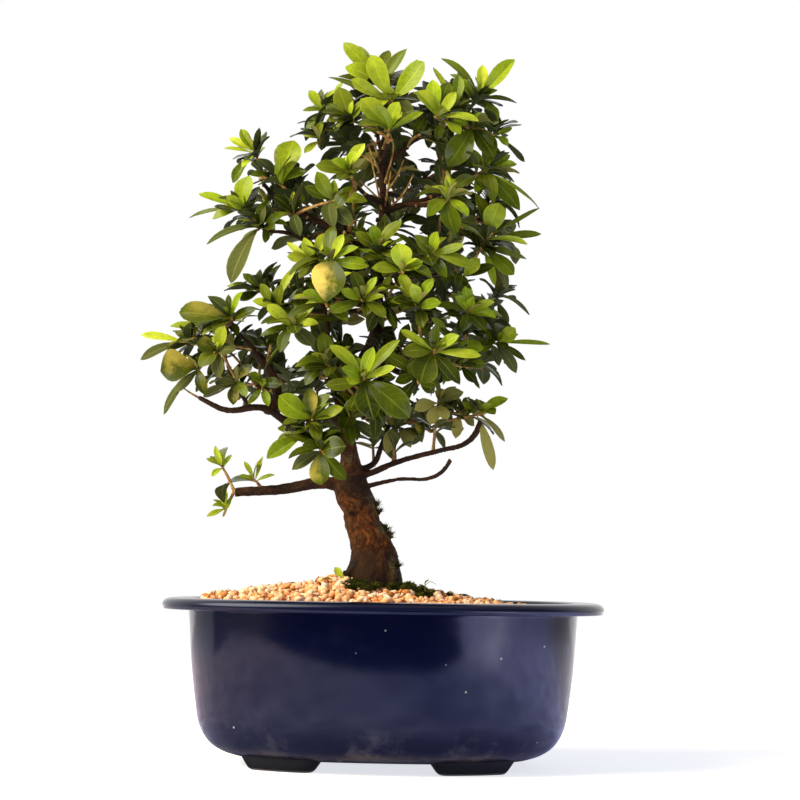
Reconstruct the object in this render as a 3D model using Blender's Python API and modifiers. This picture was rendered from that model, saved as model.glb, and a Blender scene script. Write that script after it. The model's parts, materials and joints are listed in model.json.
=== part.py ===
"""A kobai satsuki azalea trained as a bonsai, in an oval moulded plastic pot.

The tree is one body of wood: trunk, boughs and cut stubs. Each leafy spray is a body of its own,
a thin stem with rosettes of leaves at its ends, seated at a bough. The pot stands on four feet, has
two drainage holes under plastic screens, and is filled with granular soil that the trunk stands in.

Sizes are written in millimetres, in a frame with +X to the viewer's right, +Y away from the viewer
and +Z up, centred on the pot at floor level. place() turns them into metres, with the origin under
the middle of the whole tree and pot.
"""

import math
import random

import bmesh
import bpy
from mathutils import Matrix, Vector
from mathutils.bvhtree import BVHTree

MM = 0.001
UP = Vector((0, 0, 1))

# The pot: half lengths along X, and the same everywhere less POT_NARROWER along Y.
POT_SIDES = 32
POT_ROUNDNESS = 2.4
POT_NARROWER = 30
RIM_TOP = 93
FLOOR_TOP = 9.5
UNDERSIDE = 6.0
POT_OUTSIDE = ((84, UNDERSIDE), (91, 8.4), (98, 13.5), (103, 22.5), (105.5, 36), (108.6, 62), (110.2, 87.6))
POT_LIP = ((122.4, 88.9), (123.0, 87.0), (124.4, 86.8), (125, 89.4), (122.8, 92.3), (118, RIM_TOP),
           (108.6, 92.2))
POT_INSIDE = ((106.8, 82), (105.2, 62), (101.6, 34), (98.4, 20), (93, 12.8), (84, FLOOR_TOP))
FOOT_INNER_X = 28
FOOT_OUTER_X = 76
FOOT_WIDTH = 12
FOOT_ON_OVAL = 87
FOOT_SUNK = 2.0
FOOT_DRAFT = 0.6
FOOT_END_DRAFT = 5.0
DRAIN_X = 38
DRAIN_RADIUS = 11
SCREEN_LINES = (-17, -13, -2, 2, 13, 17)
SCREEN_THICK = 1.2

# The soil, and the mound that the trunk stands on.
CLEARANCE = 0.3
ROOT_CLEARANCE = 0.5
SOIL_TOP = 90.2
SOIL_SLOPE = 0.035
MOUND_X = -18
MOUND_HEIGHT = 11.2
MOUND_LEFT = 58
MOUND_RIGHT = 79
MOUND_DEEP = 58
EDGE_DROP = 2.5
GRANULE_RELIEF = 1.1
SOIL_RINGS = (0.92, 0.80, 0.66, 0.52, 0.38)

# Stems and leaf blades. A blade's stations are shares of its length, of its width, and its arch.
TRUNK_SIDES = 10
ROOT_ROWS = 7
ROUND_ROWS = 5
BOUGH_SIDES = 4
STEM_SIDES = 3
STEM_RADII = (1.5, 1.2, 1.4)
BLADE_THICK = 1.4
BLADE_STATIONS = ((0.42, 0.8, 0.07), (0.78, 0.94, 0.06))
LEAF_GAP = 0.4
TO_VIEWER = Vector((0, -1.2, 0))
FILL_TO = 5
GOLDEN_ANGLE = math.radians(137.5)

# A rosette: how far its leaves turn outward and up, and where each is rooted down the stem.
FACE_OUT = 0.4
FACE_AXIS = 0.7
FACE_UP = 0.3
OUTWARD_SHARE = 0.75
UPWARD_SHARE = 0.65
FIRST_ROOT = 0.6
NEXT_ROOT = 0.55
LAST_ROOT = 0.8

# The leaves that fill a rosette: degrees off its axis for the first, more for each next, and at random.
FILL_SPREAD = (62, 9, 8)
FILL_LENGTH = (18, 25)
FILL_WIDTH = (7.5, 10.5)
LEAF_SEED = 11
SOIL_SEED = 5

# What makes an anchor a poor one: a millimetre above the rosette, or further out than it.
ABOVE_COST = 1.2
BEYOND_COST = 0.8
TWIG_ABOVE_COST = 1.5
ANCHOR_STEP = 5
LOWEST_LEAFY_TRUNK = 200
# The short bough that ends bare.
BARE_BOUGH = "bare_right"

# How a stem finds its seat: steps outward from the wood, and bends as (rise, sway) shares of its length.
SEAT_MARGIN = 0.2
SEAT_STEP = 0.2
SEAT_TRIES = 9
ANCHOR_TRIES = 30
SHORTEST_STEM = 5
KNEE_SHARE = 0.55
BENDS = ((0.12, 0), (0, 0.12), (0.2, -0.15), (-0.1, 0.1), (0.3, 0.2), (-0.15, -0.2), (0.1, 0.35),
         (0.1, -0.35))

# How a leaf finds room: degrees turned and lifted, and the share of its length that it keeps.
LEAF_TRIES = ((0, 0, 1), (10, 0, 1), (-10, 0, 1), (0, 10, 1), (0, -10, 1), (14, 14, 0.95),
              (-14, 14, 0.95), (18, -12, 0.9), (-18, -12, 0.9), (0, 24, 0.9), (26, 10, 0.85),
              (-26, 10, 0.85), (0, 0, 0.75), (0, -24, 0.8), (20, 0, 0.7), (-20, 0, 0.7))

# Trunk and boughs: x, y, z and radius at each bend, from where the wood starts to where it ends.
TRUNK = ((-6, 0, 70, 9), (-6, 0, 80, 14), (-6, 0, 92, 18.5), (-6, 0, 101, 17.2), (-6, 0, 108, 16.0),
         (-6, 0, 116, 13.9), (-8, -1, 126, 11.5), (-12, -2, 135, 10.0), (-14, -2, 144, 10.2),
         (-18, -2, 152, 10.4), (-20, -2, 160, 9.6), (-20, -3, 168, 6.6), (-21, -3, 177, 4.9),
         (-22, -5, 190, 4.2), (-21, -2, 207, 4.0), (-17, 3, 225, 4.0), (-9, 4, 241, 4.0),
         (-6, 3, 256, 3.5), (-7, 1, 277, 3.4), (-7, 0, 292, 3.4), (-5, -2, 306, 3.3),
         (-3, -2, 317, 3.2), (-4, -2, 327, 2.4), (-5, -3, 341, 2.1), (-5, -2, 353, 1.8),
         (-3, -3, 365, 1.5), (-1, -3, 376, 1.2))
BOUGHS = {
    "low_left_cut": ((-18, -2, 157, 4.6), (-30, -3, 159, 4.0), (-40, -4, 159, 3.5), (-49, -5, 157, 3.3),
                     (-60, -6, 155, 3.1), (-70, -7, 154, 2.9), (-86, -8, 153, 2.7)),
    "left_pad": ((-21, -3, 178, 3.0), (-35, -8, 185, 2.7), (-46, -11, 188, 2.6), (-55, -13, 192, 2.5),
                 (-65, -15, 199, 2.3), (-73, -17, 201, 2.1), (-90, -19, 199, 1.9), (-106, -21, 206, 1.5)),
    "left_pad_riser": ((-77, -17, 201, 1.6), (-82, -23, 209, 1.4), (-87, -26, 219, 1.3),
                       (-91, -27, 230, 1.2)),
    "old_stub": ((-65, -15, 200, 2.3), (-62, -13, 207, 2.9), (-64, -10, 216, 3.2), (-69, -8, 226, 2.9),
                 (-77, -7, 234, 2.5)),
    "stub_shoot": ((-68, -8, 224, 1.6), (-79, -11, 238, 1.4), (-91, -12, 248, 1.2)),
    "low_right": ((-19, -3, 163, 2.6), (-9, -4, 165, 2.1), (9, -9, 172, 1.8), (32, -14, 178, 1.6),
                  (44, -15, 181, 1.6), (51, -15, 187, 1.9), (54, -13, 195, 1.8)),
    "bare_right": ((-17, -3, 156, 2.2), (-8, -7, 158, 1.6), (9, -20, 161, 1.3), (24, -26, 161, 1.3),
                   (33, -28, 165, 1.4), (38, -29, 172, 1.5)),
    "right_riser": ((-19, -1, 165, 2.4), (-7, 1, 171, 1.9), (-3, 5, 182, 1.6), (0, 8, 191, 1.5),
                    (6, 10, 201, 1.3)),
    "right_arm": ((-16, 3, 224, 2.4), (-4, 0, 226, 2.0), (5, -4, 228, 1.8), (25, -12, 235, 1.5),
                  (39, -13, 238, 1.4), (54, -11, 240, 1.2)),
    "inner_left": ((-22, -5, 192, 2.3), (-29, -14, 209, 2.0), (-33, -20, 228, 1.7), (-33, -24, 248, 1.5),
                   (-38, -27, 266, 1.3)),
    "upper_left": ((-7, 0, 292, 2.6), (-19, -4, 298, 2.3), (-36, -9, 307, 2.0), (-47, -10, 313, 1.8),
                   (-63, -8, 320, 1.6), (-74, -4, 333, 1.4)),
    "upper_left_inner": ((-17, -4, 296, 1.8), (-22, -10, 300, 1.5), (-26, -18, 307, 1.3)),
    "upper_left_low": ((-7, 1, 286, 2.3), (-19, -3, 290, 2.0), (-40, -8, 295, 1.6), (-57, -12, 302, 1.4),
                       (-70, -13, 303, 1.2)),
    "upper_right": ((-3, -2, 317, 2.4), (9, -4, 321, 2.0), (20, -6, 323, 1.8), (41, -7, 334, 1.5),
                    (52, -6, 339, 1.3)),
    "crown_right": ((-5, -3, 342, 1.9), (6, -5, 351, 1.6), (14, -7, 358, 1.5), (32, -9, 365, 1.3),
                    (43, -7, 371, 1.2)),
    "right_mid": ((-7, 1, 284, 2.4), (6, -2, 282, 2.0), (18, -6, 280, 1.8), (38, -9, 282, 1.5),
                  (49, -9, 287, 1.3)),
    "front_low": ((-21, -3, 200, 2.4), (-17, -20, 203, 1.8), (-12, -38, 206, 1.5)),
    "front_right": ((5, -4, 228, 1.8), (12, -22, 226, 1.6), (22, -42, 226, 1.4)),
    "front_mid": ((-7, 2, 258, 2.4), (-8, -20, 257, 1.8), (-10, -42, 255, 1.5)),
    "front_mid_left": ((-8, -20, 257, 1.8), (-19, -34, 254, 1.5), (-27, -44, 252, 1.3)),
    "front_high": ((-7, 1, 278, 2.3), (-1, -20, 273, 1.8), (7, -44, 267, 1.5)),
    "front_upper_left": ((-4, -2, 322, 2.2), (-12, -18, 323, 1.6), (-18, -34, 326, 1.3)),
    "front_crown": ((-5, -3, 345, 2.0), (-2, -18, 348, 1.6), (0, -32, 352, 1.3)),
    "front_upper_right": ((9, -4, 321, 1.9), (20, -22, 317, 1.6), (30, -38, 314, 1.3)),
    "back_low": ((-21, -3, 205, 2.4), (-19, 18, 204, 2.0), (-20, 40, 203, 1.6), (-14, 54, 200, 1.3)),
    "back_left": ((-22, -4, 189, 2.4), (-40, 12, 203, 2.0), (-60, 26, 212, 1.6), (-80, 30, 218, 1.3)),
    "back_right": ((-12, 4, 235, 2.4), (5, 20, 226, 2.0), (20, 38, 224, 1.6), (38, 46, 228, 1.3)),
    "back_mid_left": ((-7, 2, 262, 2.4), (-22, 20, 266, 1.9), (-36, 40, 266, 1.5)),
    "back_mid_right": ((-7, 0, 281, 2.2), (8, 22, 283, 1.9), (26, 44, 286, 1.5)),
    "back_upper_left": ((-6, -1, 300, 2.2), (-18, 16, 306, 1.8), (-36, 28, 313, 1.5), (-52, 30, 318, 1.2)),
    "back_upper": ((-4, -2, 328, 2.1), (0, 18, 331, 1.7), (4, 36, 333, 1.4)),
    "back_upper_right": ((20, -6, 323, 1.8), (33, 14, 318, 1.6), (48, 30, 312, 1.3)),
    "back_crown": ((-5, -2, 353, 1.8), (-8, 13, 361, 1.5), (-10, 22, 371, 1.2)),
}

# Leafy sprays at the back and inside: the centres of their rosettes.
BACK_SPRAYS = {
    "back_crown_a": ((-20, 24, 388), (4, 28, 386)),
    "back_crown_b": ((24, 22, 374), (42, 14, 386)),
    "back_crown_c": ((-30, 30, 362), (-14, 42, 352)),
    "back_crown_d": ((14, 44, 342), (36, 30, 350)),
    "back_upper_left_a": ((-60, 24, 336), (-74, 14, 322)),
    "back_upper_left_b": ((-40, 42, 324), (-54, 44, 306)),
    "back_upper_right_a": ((60, 20, 328), (64, 34, 304)),
    "back_upper_right_b": ((38, 50, 316), (22, 60, 300)),
    "back_mid_left_a": ((-30, 58, 284), (-12, 60, 300)),
    "back_mid_left_b": ((-60, 40, 272), (-46, 56, 256)),
    "back_mid_right_a": ((14, 66, 270), (38, 58, 276)),
    "back_left_pad_a": ((-98, 22, 240), (-78, 40, 238)),
    "back_left_pad_b": ((-64, 50, 222), (-94, 34, 218)),
    "back_right_a": ((58, 32, 254), (62, 20, 272)),
    "back_right_b": ((26, 64, 240), (52, 50, 232)),
    "back_low_a": ((-24, 62, 216), (-42, 44, 232)),
    "back_low_b": ((6, 62, 206), (22, 48, 194)),
}

# Leafy sprays that the front view shows: for each rosette its centre, then its leaves as the tip's
# place from that centre, the width, and the tone: y young, m mature, o seen from below, p patched.
FRONT_SPRAYS = {
    "crown_peak": (
        ((-6, -4, 392), (
            (-22, -2, 24, 9, "y"), (-15, 6, 24, 7, "m"), (14, 4, 22, 9, "m"),
            (-20, -8, 8, 11, "y"), (-24, -10, 2, 7, "m"), (3, 10, 23, 8, "m"),
        )),
        ((1, -18, 378), (
            (-12, -4, 26, 12, "y"), (18, -5, 22, 14, "y"), (14, 8, 27, 6, "y"),
            (-23, -6, 11, 8, "y"), (13, -10, -13, 9, "o"), (-37, 4, 16, 5, "m"),
        )),
    ),
    "crown_front": (
        ((1, -42, 355), (
            (-15, -6, 17, 13, "y"), (6, -10, 14, 9, "y"), (19, -4, 10, 5, "y"), (-6, -16, 10, 8, "y"),
        )),
        ((-23, -22, 366), (
            (-6, -4, 18, 12, "m"), (10, -10, 10, 8, "m"), (-12, -8, -2, 8, "m"),
        )),
    ),
    "crown_left": (
        ((-40, 0, 376), (
            (-8, -3, 12, 6, "y"), (6, -4, 12, 6, "y"), (-10, -4, -12, 5, "m"), (-11, -6, 0, 4, "m"),
        )),
        ((-41, -6, 357), (
            (-8, -8, -8, 5, "y"), (2, -8, 10, 6, "m"), (-11, 4, 7, 5, "m"),
        )),
    ),
    "light_left": (
        ((-21, -48, 330), (
            (9, -6, 15, 7, "y"), (-8, -10, 5, 7, "y"), (-17, -6, 3, 9, "m"), (5, -14, 9, 6, "y"),
        )),
    ),
    "crown_right": (
        ((27, -25, 367), (
            (-11, -4, 14, 10, "y"), (-2, -3, 21, 9, "y"), (11, -6, 13, 7, "y"), (-8, 6, 23, 9, "m"),
            (7, 8, 23, 9, "m"), (24, -8, -4, 7, "y"),
        )),
        ((36, -12, 375), (
            (3, 4, 21, 7, "y"), (-24, 8, 15, 5, "m"), (10, 6, 7, 5, "m"), (-12, 10, 27, 4, "y"),
        )),
    ),
    "top_right": (
        ((51, 0, 385), (
            (-22, 0, 24, 6, "m"), (2, -4, 18, 7, "y"), (20, -3, 22, 10, "y"), (-17, 6, 16, 4, "m"),
            (22, 6, -1, 4, "m"), (10, -8, -10, 4, "m"),
        )),
    ),
    "right_hang": (
        ((48, -16, 363), (
            (-14, -8, -23, 15, "m"), (12, -6, -18, 13, "m"), (9, 4, 5, 7, "m"), (-11, -4, 4, 7, "y"),
        )),
        ((61, 4, 363), (
            (9, 0, 5, 5, "y"), (7, -4, -6, 5, "y"),
        )),
    ),
    "right_mid_top": (
        ((61, 8, 345), (
            (1, 0, 12, 5, "y"), (8, -3, 7, 5, "y"), (12, 2, 3, 5, "y"), (11, -5, -3, 5, "y"),
        )),
        ((54, -14, 337), (
            (21, -3, -21, 12, "m"), (33, 6, -18, 3, "m"), (-7, -10, -11, 7, "m"),
            (6, -12, -19, 8, "m"),
        )),
        ((34, -46, 315), (
            (5, -6, -20, 12, "m"), (-4, -10, 6, 5, "y"), (12, -10, -10, 7, "y"),
            (-10, -10, -10, 8, "m"),
        )),
    ),
    "right_mid": (
        ((58, -18, 300), (
            (5, -5, 18, 13, "y"), (-8, 3, 25, 7, "m"), (28, 4, 18, 3, "m"), (29, 0, 2, 5, "m"),
            (21, -8, -5, 5, "y"),
        )),
        ((55, -4, 295), (
            (24, -4, -6, 7, "m"), (17, -6, -15, 10, "m"), (14, 4, -23, 6, "o"), (6, -8, -22, 5, "y"),
        )),
    ),
    "mid_right_front": (
        ((27, -52, 284), (
            (17, -6, 4, 6, "y"), (22, -4, -7, 8, "m"), (3, -12, 10, 7, "y"), (-9, -8, 9, 7, "m"),
            (8, -10, -14, 7, "m"),
        )),
    ),
    "upper_left_tip": (
        ((-80, 0, 353), (
            (-8, -2, 12, 6, "y"), (-15, 2, 8, 5, "y"), (-17, -4, 1, 3, "y"), (-6, -6, -11, 5, "y"),
            (-13, 2, -18, 7, "m"),
        )),
        ((-62, -10, 330), (
            (6, -3, 26, 16, "y"), (-1, -10, 13, 6, "m"), (14, -6, 8, 7, "m"),
        )),
    ),
    "upper_left_low": (
        ((-85, -10, 316), (
            (-25, -2, 9, 6, "y"), (4, -4, 19, 12, "y"), (-16, -6, -6, 8, "m"), (-32, 6, -3, 3, "m"),
            (-8, -10, 6, 7, "y"),
        )),
        ((-74, -16, 304), (
            (-30, -2, -9, 6, "o"), (-16, -2, -31, 13, "o"), (4, -8, 11, 8, "o"), (-10, 6, -12, 8, "m"),
        )),
    ),
    "upper_left_mid": (
        ((-56, -14, 313), (
            (-14, -6, -7, 6, "m"), (-9, -8, 9, 7, "m"), (6, -8, -14, 7, "o"), (6, 4, 12, 7, "m"),
        )),
        ((-30, -34, 317), (
            (-9, -6, 15, 9, "m"), (-16, -4, 7, 7, "m"), (19, -5, -1, 8, "m"), (1, -10, -17, 9, "o"),
            (11, -8, -15, 9, "o"),
        )),
    ),
    "trunk_front_upper": (
        ((-4, -40, 288), (
            (13, -4, 16, 7, "m"), (-12, -6, 9, 7, "m"), (-3, -10, 12, 7, "y"),
        )),
        ((11, -62, 272), (
            (-2, -5, 15, 12, "y"), (-16, -5, 2, 7, "m"), (11, -6, 5, 7, "y"), (4, -8, -12, 7, "m"),
        )),
    ),
    "centre_front": (
        ((19, -62, 254), (
            (9, -4, 14, 6, "y"), (-2, -10, 10, 7, "y"), (13, -4, 1, 7, "y"), (-12, -6, 2, 7, "m"),
            (4, -8, -13, 7, "m"),
        )),
    ),
    "mid_left_top": (
        ((-42, -30, 284), (
            (9, -4, 14, 8, "y"), (-13, -5, 1, 7, "y"), (-15, 6, 11, 4, "y"), (-4, -6, 11, 7, "y"),
            (-6, -9, -12, 7, "m"),
        )),
        ((-29, -45, 280), (
            (6, -4, 15, 6, "y"), (14, -5, 8, 6, "y"), (20, -4, -2, 9, "y"),
        )),
        ((-31, -55, 255), (
            (5, -10, 22, 21, "p"), (-12, -6, 6, 7, "y"), (12, -8, -10, 8, "m"),
        )),
    ),
    "centre_bright": (
        ((-11, -58, 257), (
            (-5, -5, 15, 7, "m"), (8, -5, 12, 5, "y"), (-11, -6, 5, 6, "y"), (12, -8, 1, 6, "y"),
            (-17, -2, -9, 8, "m"), (13, -8, -10, 7, "m"),
        )),
    ),
    "mid_left_low": (
        ((-62, -30, 257), (
            (-8, -5, 12, 6, "y"), (11, -2, 22, 5, "y"), (-12, -6, 2, 7, "y"), (4, -10, 11, 7, "m"),
            (11, -8, -11, 7, "m"),
        )),
        ((-74, -14, 268), (
            (-18, 0, 3, 5, "m"), (-8, -6, 9, 5, "y"), (-9, -8, -6, 7, "m"),
        )),
        ((-50, -46, 242), (
            (-14, -5, 13, 7, "y"), (12, -4, 16, 6, "y"), (14, -6, 3, 6, "y"), (-18, -3, -4, 6, "m"),
            (12, -8, -10, 9, "o"), (-6, -8, -13, 7, "m"),
        )),
    ),
    "left_pad_top": (
        ((-88, -22, 251), (
            (-29, -4, 3, 14, "p"), (-13, -4, 12, 7, "o"), (7, -8, 14, 6, "y"), (15, -8, 5, 7, "m"),
            (-9, -8, -9, 7, "m"),
        )),
        ((-106, 0, 247), (
            (-15, 2, 13, 7, "m"), (-20, -4, 2, 7, "y"), (-11, -5, -7, 7, "m"), (5, -4, 15, 7, "m"),
        )),
    ),
    "left_pad_end": (
        ((-115, -6, 238), (
            (-28, 3, 6, 5, "y"), (-27, -2, -9, 7, "o"), (-11, -8, -3, 6, "m"),
        )),
        ((-107, -20, 221), (
            (-19, -10, -1, 22, "p"), (-20, 4, -24, 6, "o"), (6, -6, -14, 7, "m"),
            (-13, -2, -12, 7, "o"),
        )),
    ),
    "left_pad_front": (
        ((-94, -36, 230), (
            (-10, -6, 5, 10, "m"), (5, -5, 14, 9, "y"), (11, -6, 1, 9, "o"), (-8, -8, -9, 9, "m"),
            (3, -6, -14, 8, "o"),
        )),
        ((-82, -30, 213), (
            (-12, -4, -1, 8, "o"), (8, -6, 10, 7, "m"), (-2, -6, -12, 7, "m"), (6, -10, -8, 5, "y"),
        )),
    ),
    "left_pad_back": (
        ((-75, 14, 236), (
            (-8, -5, 12, 7, "m"), (10, -5, 9, 7, "m"), (-9, -8, -7, 7, "m"), (7, -6, -14, 7, "m"),
        )),
        ((-69, -24, 211), (
            (-7, -6, -9, 5, "y"), (4, -6, -10, 5, "y"), (11, -6, 2, 7, "m"), (-6, -10, 7, 6, "y"),
        )),
    ),
    "centre_low": (
        ((-9, -64, 213), (
            (-18, -4, 18, 7, "y"), (19, -3, 21, 7, "y"), (5, -8, 16, 7, "y"), (17, -6, 6, 6, "y"),
            (25, -2, -20, 16, "m"), (6, -3, -22, 15, "m"), (-20, -4, -4, 8, "m"),
            (-10, -12, 8, 7, "y"),
        )),
        ((-33, -36, 224), (
            (-16, -5, -2, 8, "m"), (-10, -5, -12, 8, "m"), (-1, -5, 17, 9, "m"),
            (10, -10, -11, 7, "m"),
        )),
    ),
    "low_left_crown": (
        ((-39, -42, 192), (
            (-18, -3, 13, 13, "y"), (-1, -6, 17, 8, "p"), (17, -4, 7, 7, "y"), (5, -10, -12, 7, "m"),
            (10, -5, 14, 8, "m"),
        )),
        ((-44, -34, 183), (
            (-20, -3, -12, 10, "y"), (-16, 5, -4, 8, "m"), (-6, -8, 7, 6, "m"),
        )),
        ((-32, -50, 174), (
            (13, -6, 3, 14, "m"), (-16, -3, -10, 8, "o"), (0, -5, -18, 12, "p"), (13, -3, -15, 9, "m"),
            (-10, -8, 3, 7, "m"),
        )),
    ),
    "trunk_side": (
        ((-19, -22, 194), (
            (16, -3, -11, 7, "o"), (-10, -8, 5, 7, "m"), (10, -8, 5, 7, "o"), (2, -9, -15, 7, "m"),
        )),
    ),
    "right_front": (
        ((29, -60, 229), (
            (-18, -3, 11, 5, "y"), (1, -6, 14, 6, "m"), (25, -4, -2, 6, "y"), (-17, -5, -1, 9, "m"),
            (14, -5, -18, 9, "m"), (-7, -7, -18, 16, "m"), (13, -6, 8, 7, "y"),
        )),
        ((44, -34, 223), (
            (12, -4, 2, 7, "m"), (8, -4, -9, 7, "m"), (-10, -8, -8, 7, "m"),
        )),
    ),
    "right_upper_pad": (
        ((47, -38, 254), (
            (-2, -5, 13, 7, "y"), (-6, -9, 9, 6, "y"), (14, -4, 5, 6, "y"), (15, -5, -4, 7, "y"),
            (-3, -6, -12, 7, "m"), (-21, -2, 3, 5, "m"), (7, -8, -12, 7, "m"),
        )),
    ),
    "right_pad_end": (
        ((64, -10, 239), (
            (9, -4, 9, 9, "y"), (29, 2, 1, 4, "y"), (15, -3, -9, 5, "m"), (10, -4, -16, 8, "o"),
            (-8, -6, 8, 7, "m"), (-11, -6, -4, 7, "m"),
        )),
    ),
    "low_right": (
        ((30, -12, 206), (
            (14, -4, 5, 8, "o"), (-13, -5, -5, 8, "o"), (-4, -4, -13, 8, "o"), (5, -8, -11, 7, "m"),
        )),
        ((43, -4, 200), (
            (13, -4, 6, 7, "o"), (-8, -3, -14, 7, "o"), (7, -3, -9, 6, "o"), (-9, 4, 9, 8, "m"),
        )),
    ),
    "low_right_inner": (
        ((6, 6, 194), (
            (-6, -4, -17, 8, "o"), (8, -4, -13, 8, "o"), (-9, -6, 4, 7, "m"), (6, -4, 12, 7, "o"),
        )),
    ),
    "low_right_end": (
        ((54, -10, 199), (
            (15, -3, 9, 7, "y"), (6, -8, 5, 5, "y"), (14, -2, -15, 4, "o"), (8, -2, -31, 7, "o"),
            (-8, 3, 10, 7, "m"), (-10, -6, 6, 5, "y"),
        )),
    ),
    "shoot_a": (
        ((-94, -6, 168), (
            (-2, -2, 8, 5, "y"), (-8, -3, 4, 3, "y"), (-5, -3, -6, 4, "y"), (6, -4, 6, 3, "y"),
        )),
    ),
    "shoot_b": (
        ((-75, -10, 160), (
            (-5, -2, 10, 3, "y"), (5, -2, 13, 3, "y"), (12, -3, 3, 3, "y"), (-8, -3, 2, 3, "y"),
        )),
    ),
    "shoot_c": (
        ((-91, -8, 142), (
            (-1, -2, 14, 5, "y"), (4, -4, 7, 5, "y"), (-10, -2, -3, 4, "y"), (-6, -6, 3, 4, "y"),
        )),
    ),
}
# Finishes: sRGB colour, roughness and metallic value.
FINISHES = {
    "navy_plastic": ("1A1B38", 0.22, 0.0),
    "black_plastic": ("1C1D1F", 0.6, 0.0),
    "soil_granules": ("E2AE78", 0.95, 0.0),
    "bark": ("5E3A24", 0.85, 0.0),
    "young_leaf": ("8FB02E", 0.45, 0.0),
    "mature_leaf": ("2F4A18", 0.4, 0.0),
}


def linear(channel):
    return channel / 12.92 if channel <= 0.04045 else ((channel + 0.055) / 1.055) ** 2.4


def make_finish(name):
    hex_colour, roughness, metallic = FINISHES[name]
    finish = bpy.data.materials.new(name)
    finish.use_nodes = True
    shader = finish.node_tree.nodes["Principled BSDF"]
    colour = [linear(int(hex_colour[i:i + 2], 16) / 255) for i in (0, 2, 4)]
    shader.inputs["Base Color"].default_value = (*colour, 1)
    shader.inputs["Roughness"].default_value = roughness
    shader.inputs["Metallic"].default_value = metallic
    return finish


def add_object(name, shape, collection):
    """One object from (vertices in mm, faces), with its faces turned to point out."""
    vertices, faces = shape
    mesh = bpy.data.meshes.new(name)
    mesh.from_pydata([Vector(v) * MM for v in vertices], [], faces)
    form = bmesh.new()
    form.from_mesh(mesh)
    bmesh.ops.recalc_face_normals(form, faces=form.faces)
    form.to_mesh(mesh)
    form.free()
    piece = bpy.data.objects.new(name, mesh)
    collection.objects.link(piece)
    return piece


def loft(rings, tip=None):
    """A closed skin over rings of equal count, with flat ends, or with a point at the far end."""
    count = len(rings[0])
    vertices = [v for ring in rings for v in ring]
    faces = [tuple(reversed(range(count)))]
    for row in range(len(rings) - 1):
        for i in range(count):
            a = row * count + i
            b = row * count + (i + 1) % count
            faces.append((a, b, b + count, a + count))
    last = (len(rings) - 1) * count
    if tip is None:
        faces.append(tuple(range(last, last + count)))
    else:
        vertices.append(tip)
        faces += [(last + i, last + (i + 1) % count, len(vertices) - 1) for i in range(count)]
    return vertices, faces


def boolean(target, operation, other, solver="EXACT"):
    """Join or cut target with one object or with all of a collection."""
    step = target.modifiers.new(operation.lower(), "BOOLEAN")
    step.operation = operation
    step.solver = solver
    if isinstance(other, bpy.types.Collection):
        step.operand_type = "COLLECTION"
        step.collection = other
    else:
        step.object = other
        other.hide_render = True
        other.display_type = "WIRE"


def apply_modifiers(piece):
    view = bpy.context.evaluated_depsgraph_get()
    done = bpy.data.meshes.new_from_object(piece.evaluated_get(view))
    piece.modifiers.clear()
    piece.data = done


def keep_main_body(piece):
    """Drop loose scraps, and fill sealed hollows by dropping their inner skins."""
    form = bmesh.new()
    form.from_mesh(piece.data)
    left = set(form.verts)
    bodies = []
    while left:
        front = [left.pop()]
        body = set(front)
        while front:
            for edge in front.pop().link_edges:
                for vertex in edge.verts:
                    if vertex not in body:
                        body.add(vertex)
                        front.append(vertex)
        left -= body
        bodies.append(body)
    bodies.sort(key=len)
    for body in bodies[:-1]:
        bmesh.ops.delete(form, geom=list(body), context="VERTS")
    form.to_mesh(piece.data)
    form.free()


def fuse(name, shapes, collection):
    """One body from overlapping shapes: the first joined with all the others."""
    whole = add_object(name, shapes[0], collection)
    if len(shapes) == 1:
        return whole
    repeats = bpy.data.collections.new(name + "_repeats")
    bpy.context.scene.collection.children.link(repeats)
    for i, shape in enumerate(shapes[1:]):
        add_object(f"{name}_repeat_{i}", shape, repeats)
    boolean(whole, "UNION", repeats, "MANIFOLD")
    apply_modifiers(whole)
    for piece in list(repeats.objects):
        bpy.data.objects.remove(piece)
    bpy.data.collections.remove(repeats)
    keep_main_body(whole)
    return whole


def oval_point(half_length, angle):
    """A point of the pot's rounded oval; half_length is along X."""
    c = math.cos(angle)
    s = math.sin(angle)
    power = 2 / POT_ROUNDNESS
    x = half_length * math.copysign(abs(c) ** power, c)
    y = (half_length - POT_NARROWER) * math.copysign(abs(s) ** power, s)
    return x, y


def oval_ring(half_length, z):
    angles = [2 * math.pi * (i + 0.5) / POT_SIDES for i in range(POT_SIDES)]
    return [Vector((*oval_point(half_length, a), z)) for a in angles]


def oval_y(half_length, x):
    """How far out in Y the oval lies at x."""
    rest = 1 - (abs(x) / half_length) ** POT_ROUNDNESS
    return (half_length - POT_NARROWER) * rest ** (1 / POT_ROUNDNESS)


def foot_shape(side_x, side_y):
    """One foot: a bar that follows the oval under the pot, with ends that slope in to the floor."""
    steps = 5
    rings = []
    for z, shrink, end_shrink in ((0, FOOT_DRAFT, FOOT_END_DRAFT), (UNDERSIDE + FOOT_SUNK, 0, 0)):
        first = FOOT_INNER_X + end_shrink
        last = FOOT_OUTER_X - end_shrink
        xs = [first + (last - first) * i / (steps - 1) for i in range(steps)]
        outer = [(x, oval_y(FOOT_ON_OVAL, x) - shrink) for x in xs]
        inner = [(x, oval_y(FOOT_ON_OVAL, x) - FOOT_WIDTH + shrink) for x in reversed(xs)]
        rings.append([Vector((side_x * x, side_y * y, z)) for x, y in outer + inner])
    return loft(rings)


def disc_shape(x, y, radius, low, high, sides=20):
    rings = []
    for z in (low, high):
        turns = [2 * math.pi * i / sides for i in range(sides)]
        rings.append([Vector((x + radius * math.cos(t), y + radius * math.sin(t), z)) for t in turns])
    return loft(rings)


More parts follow.
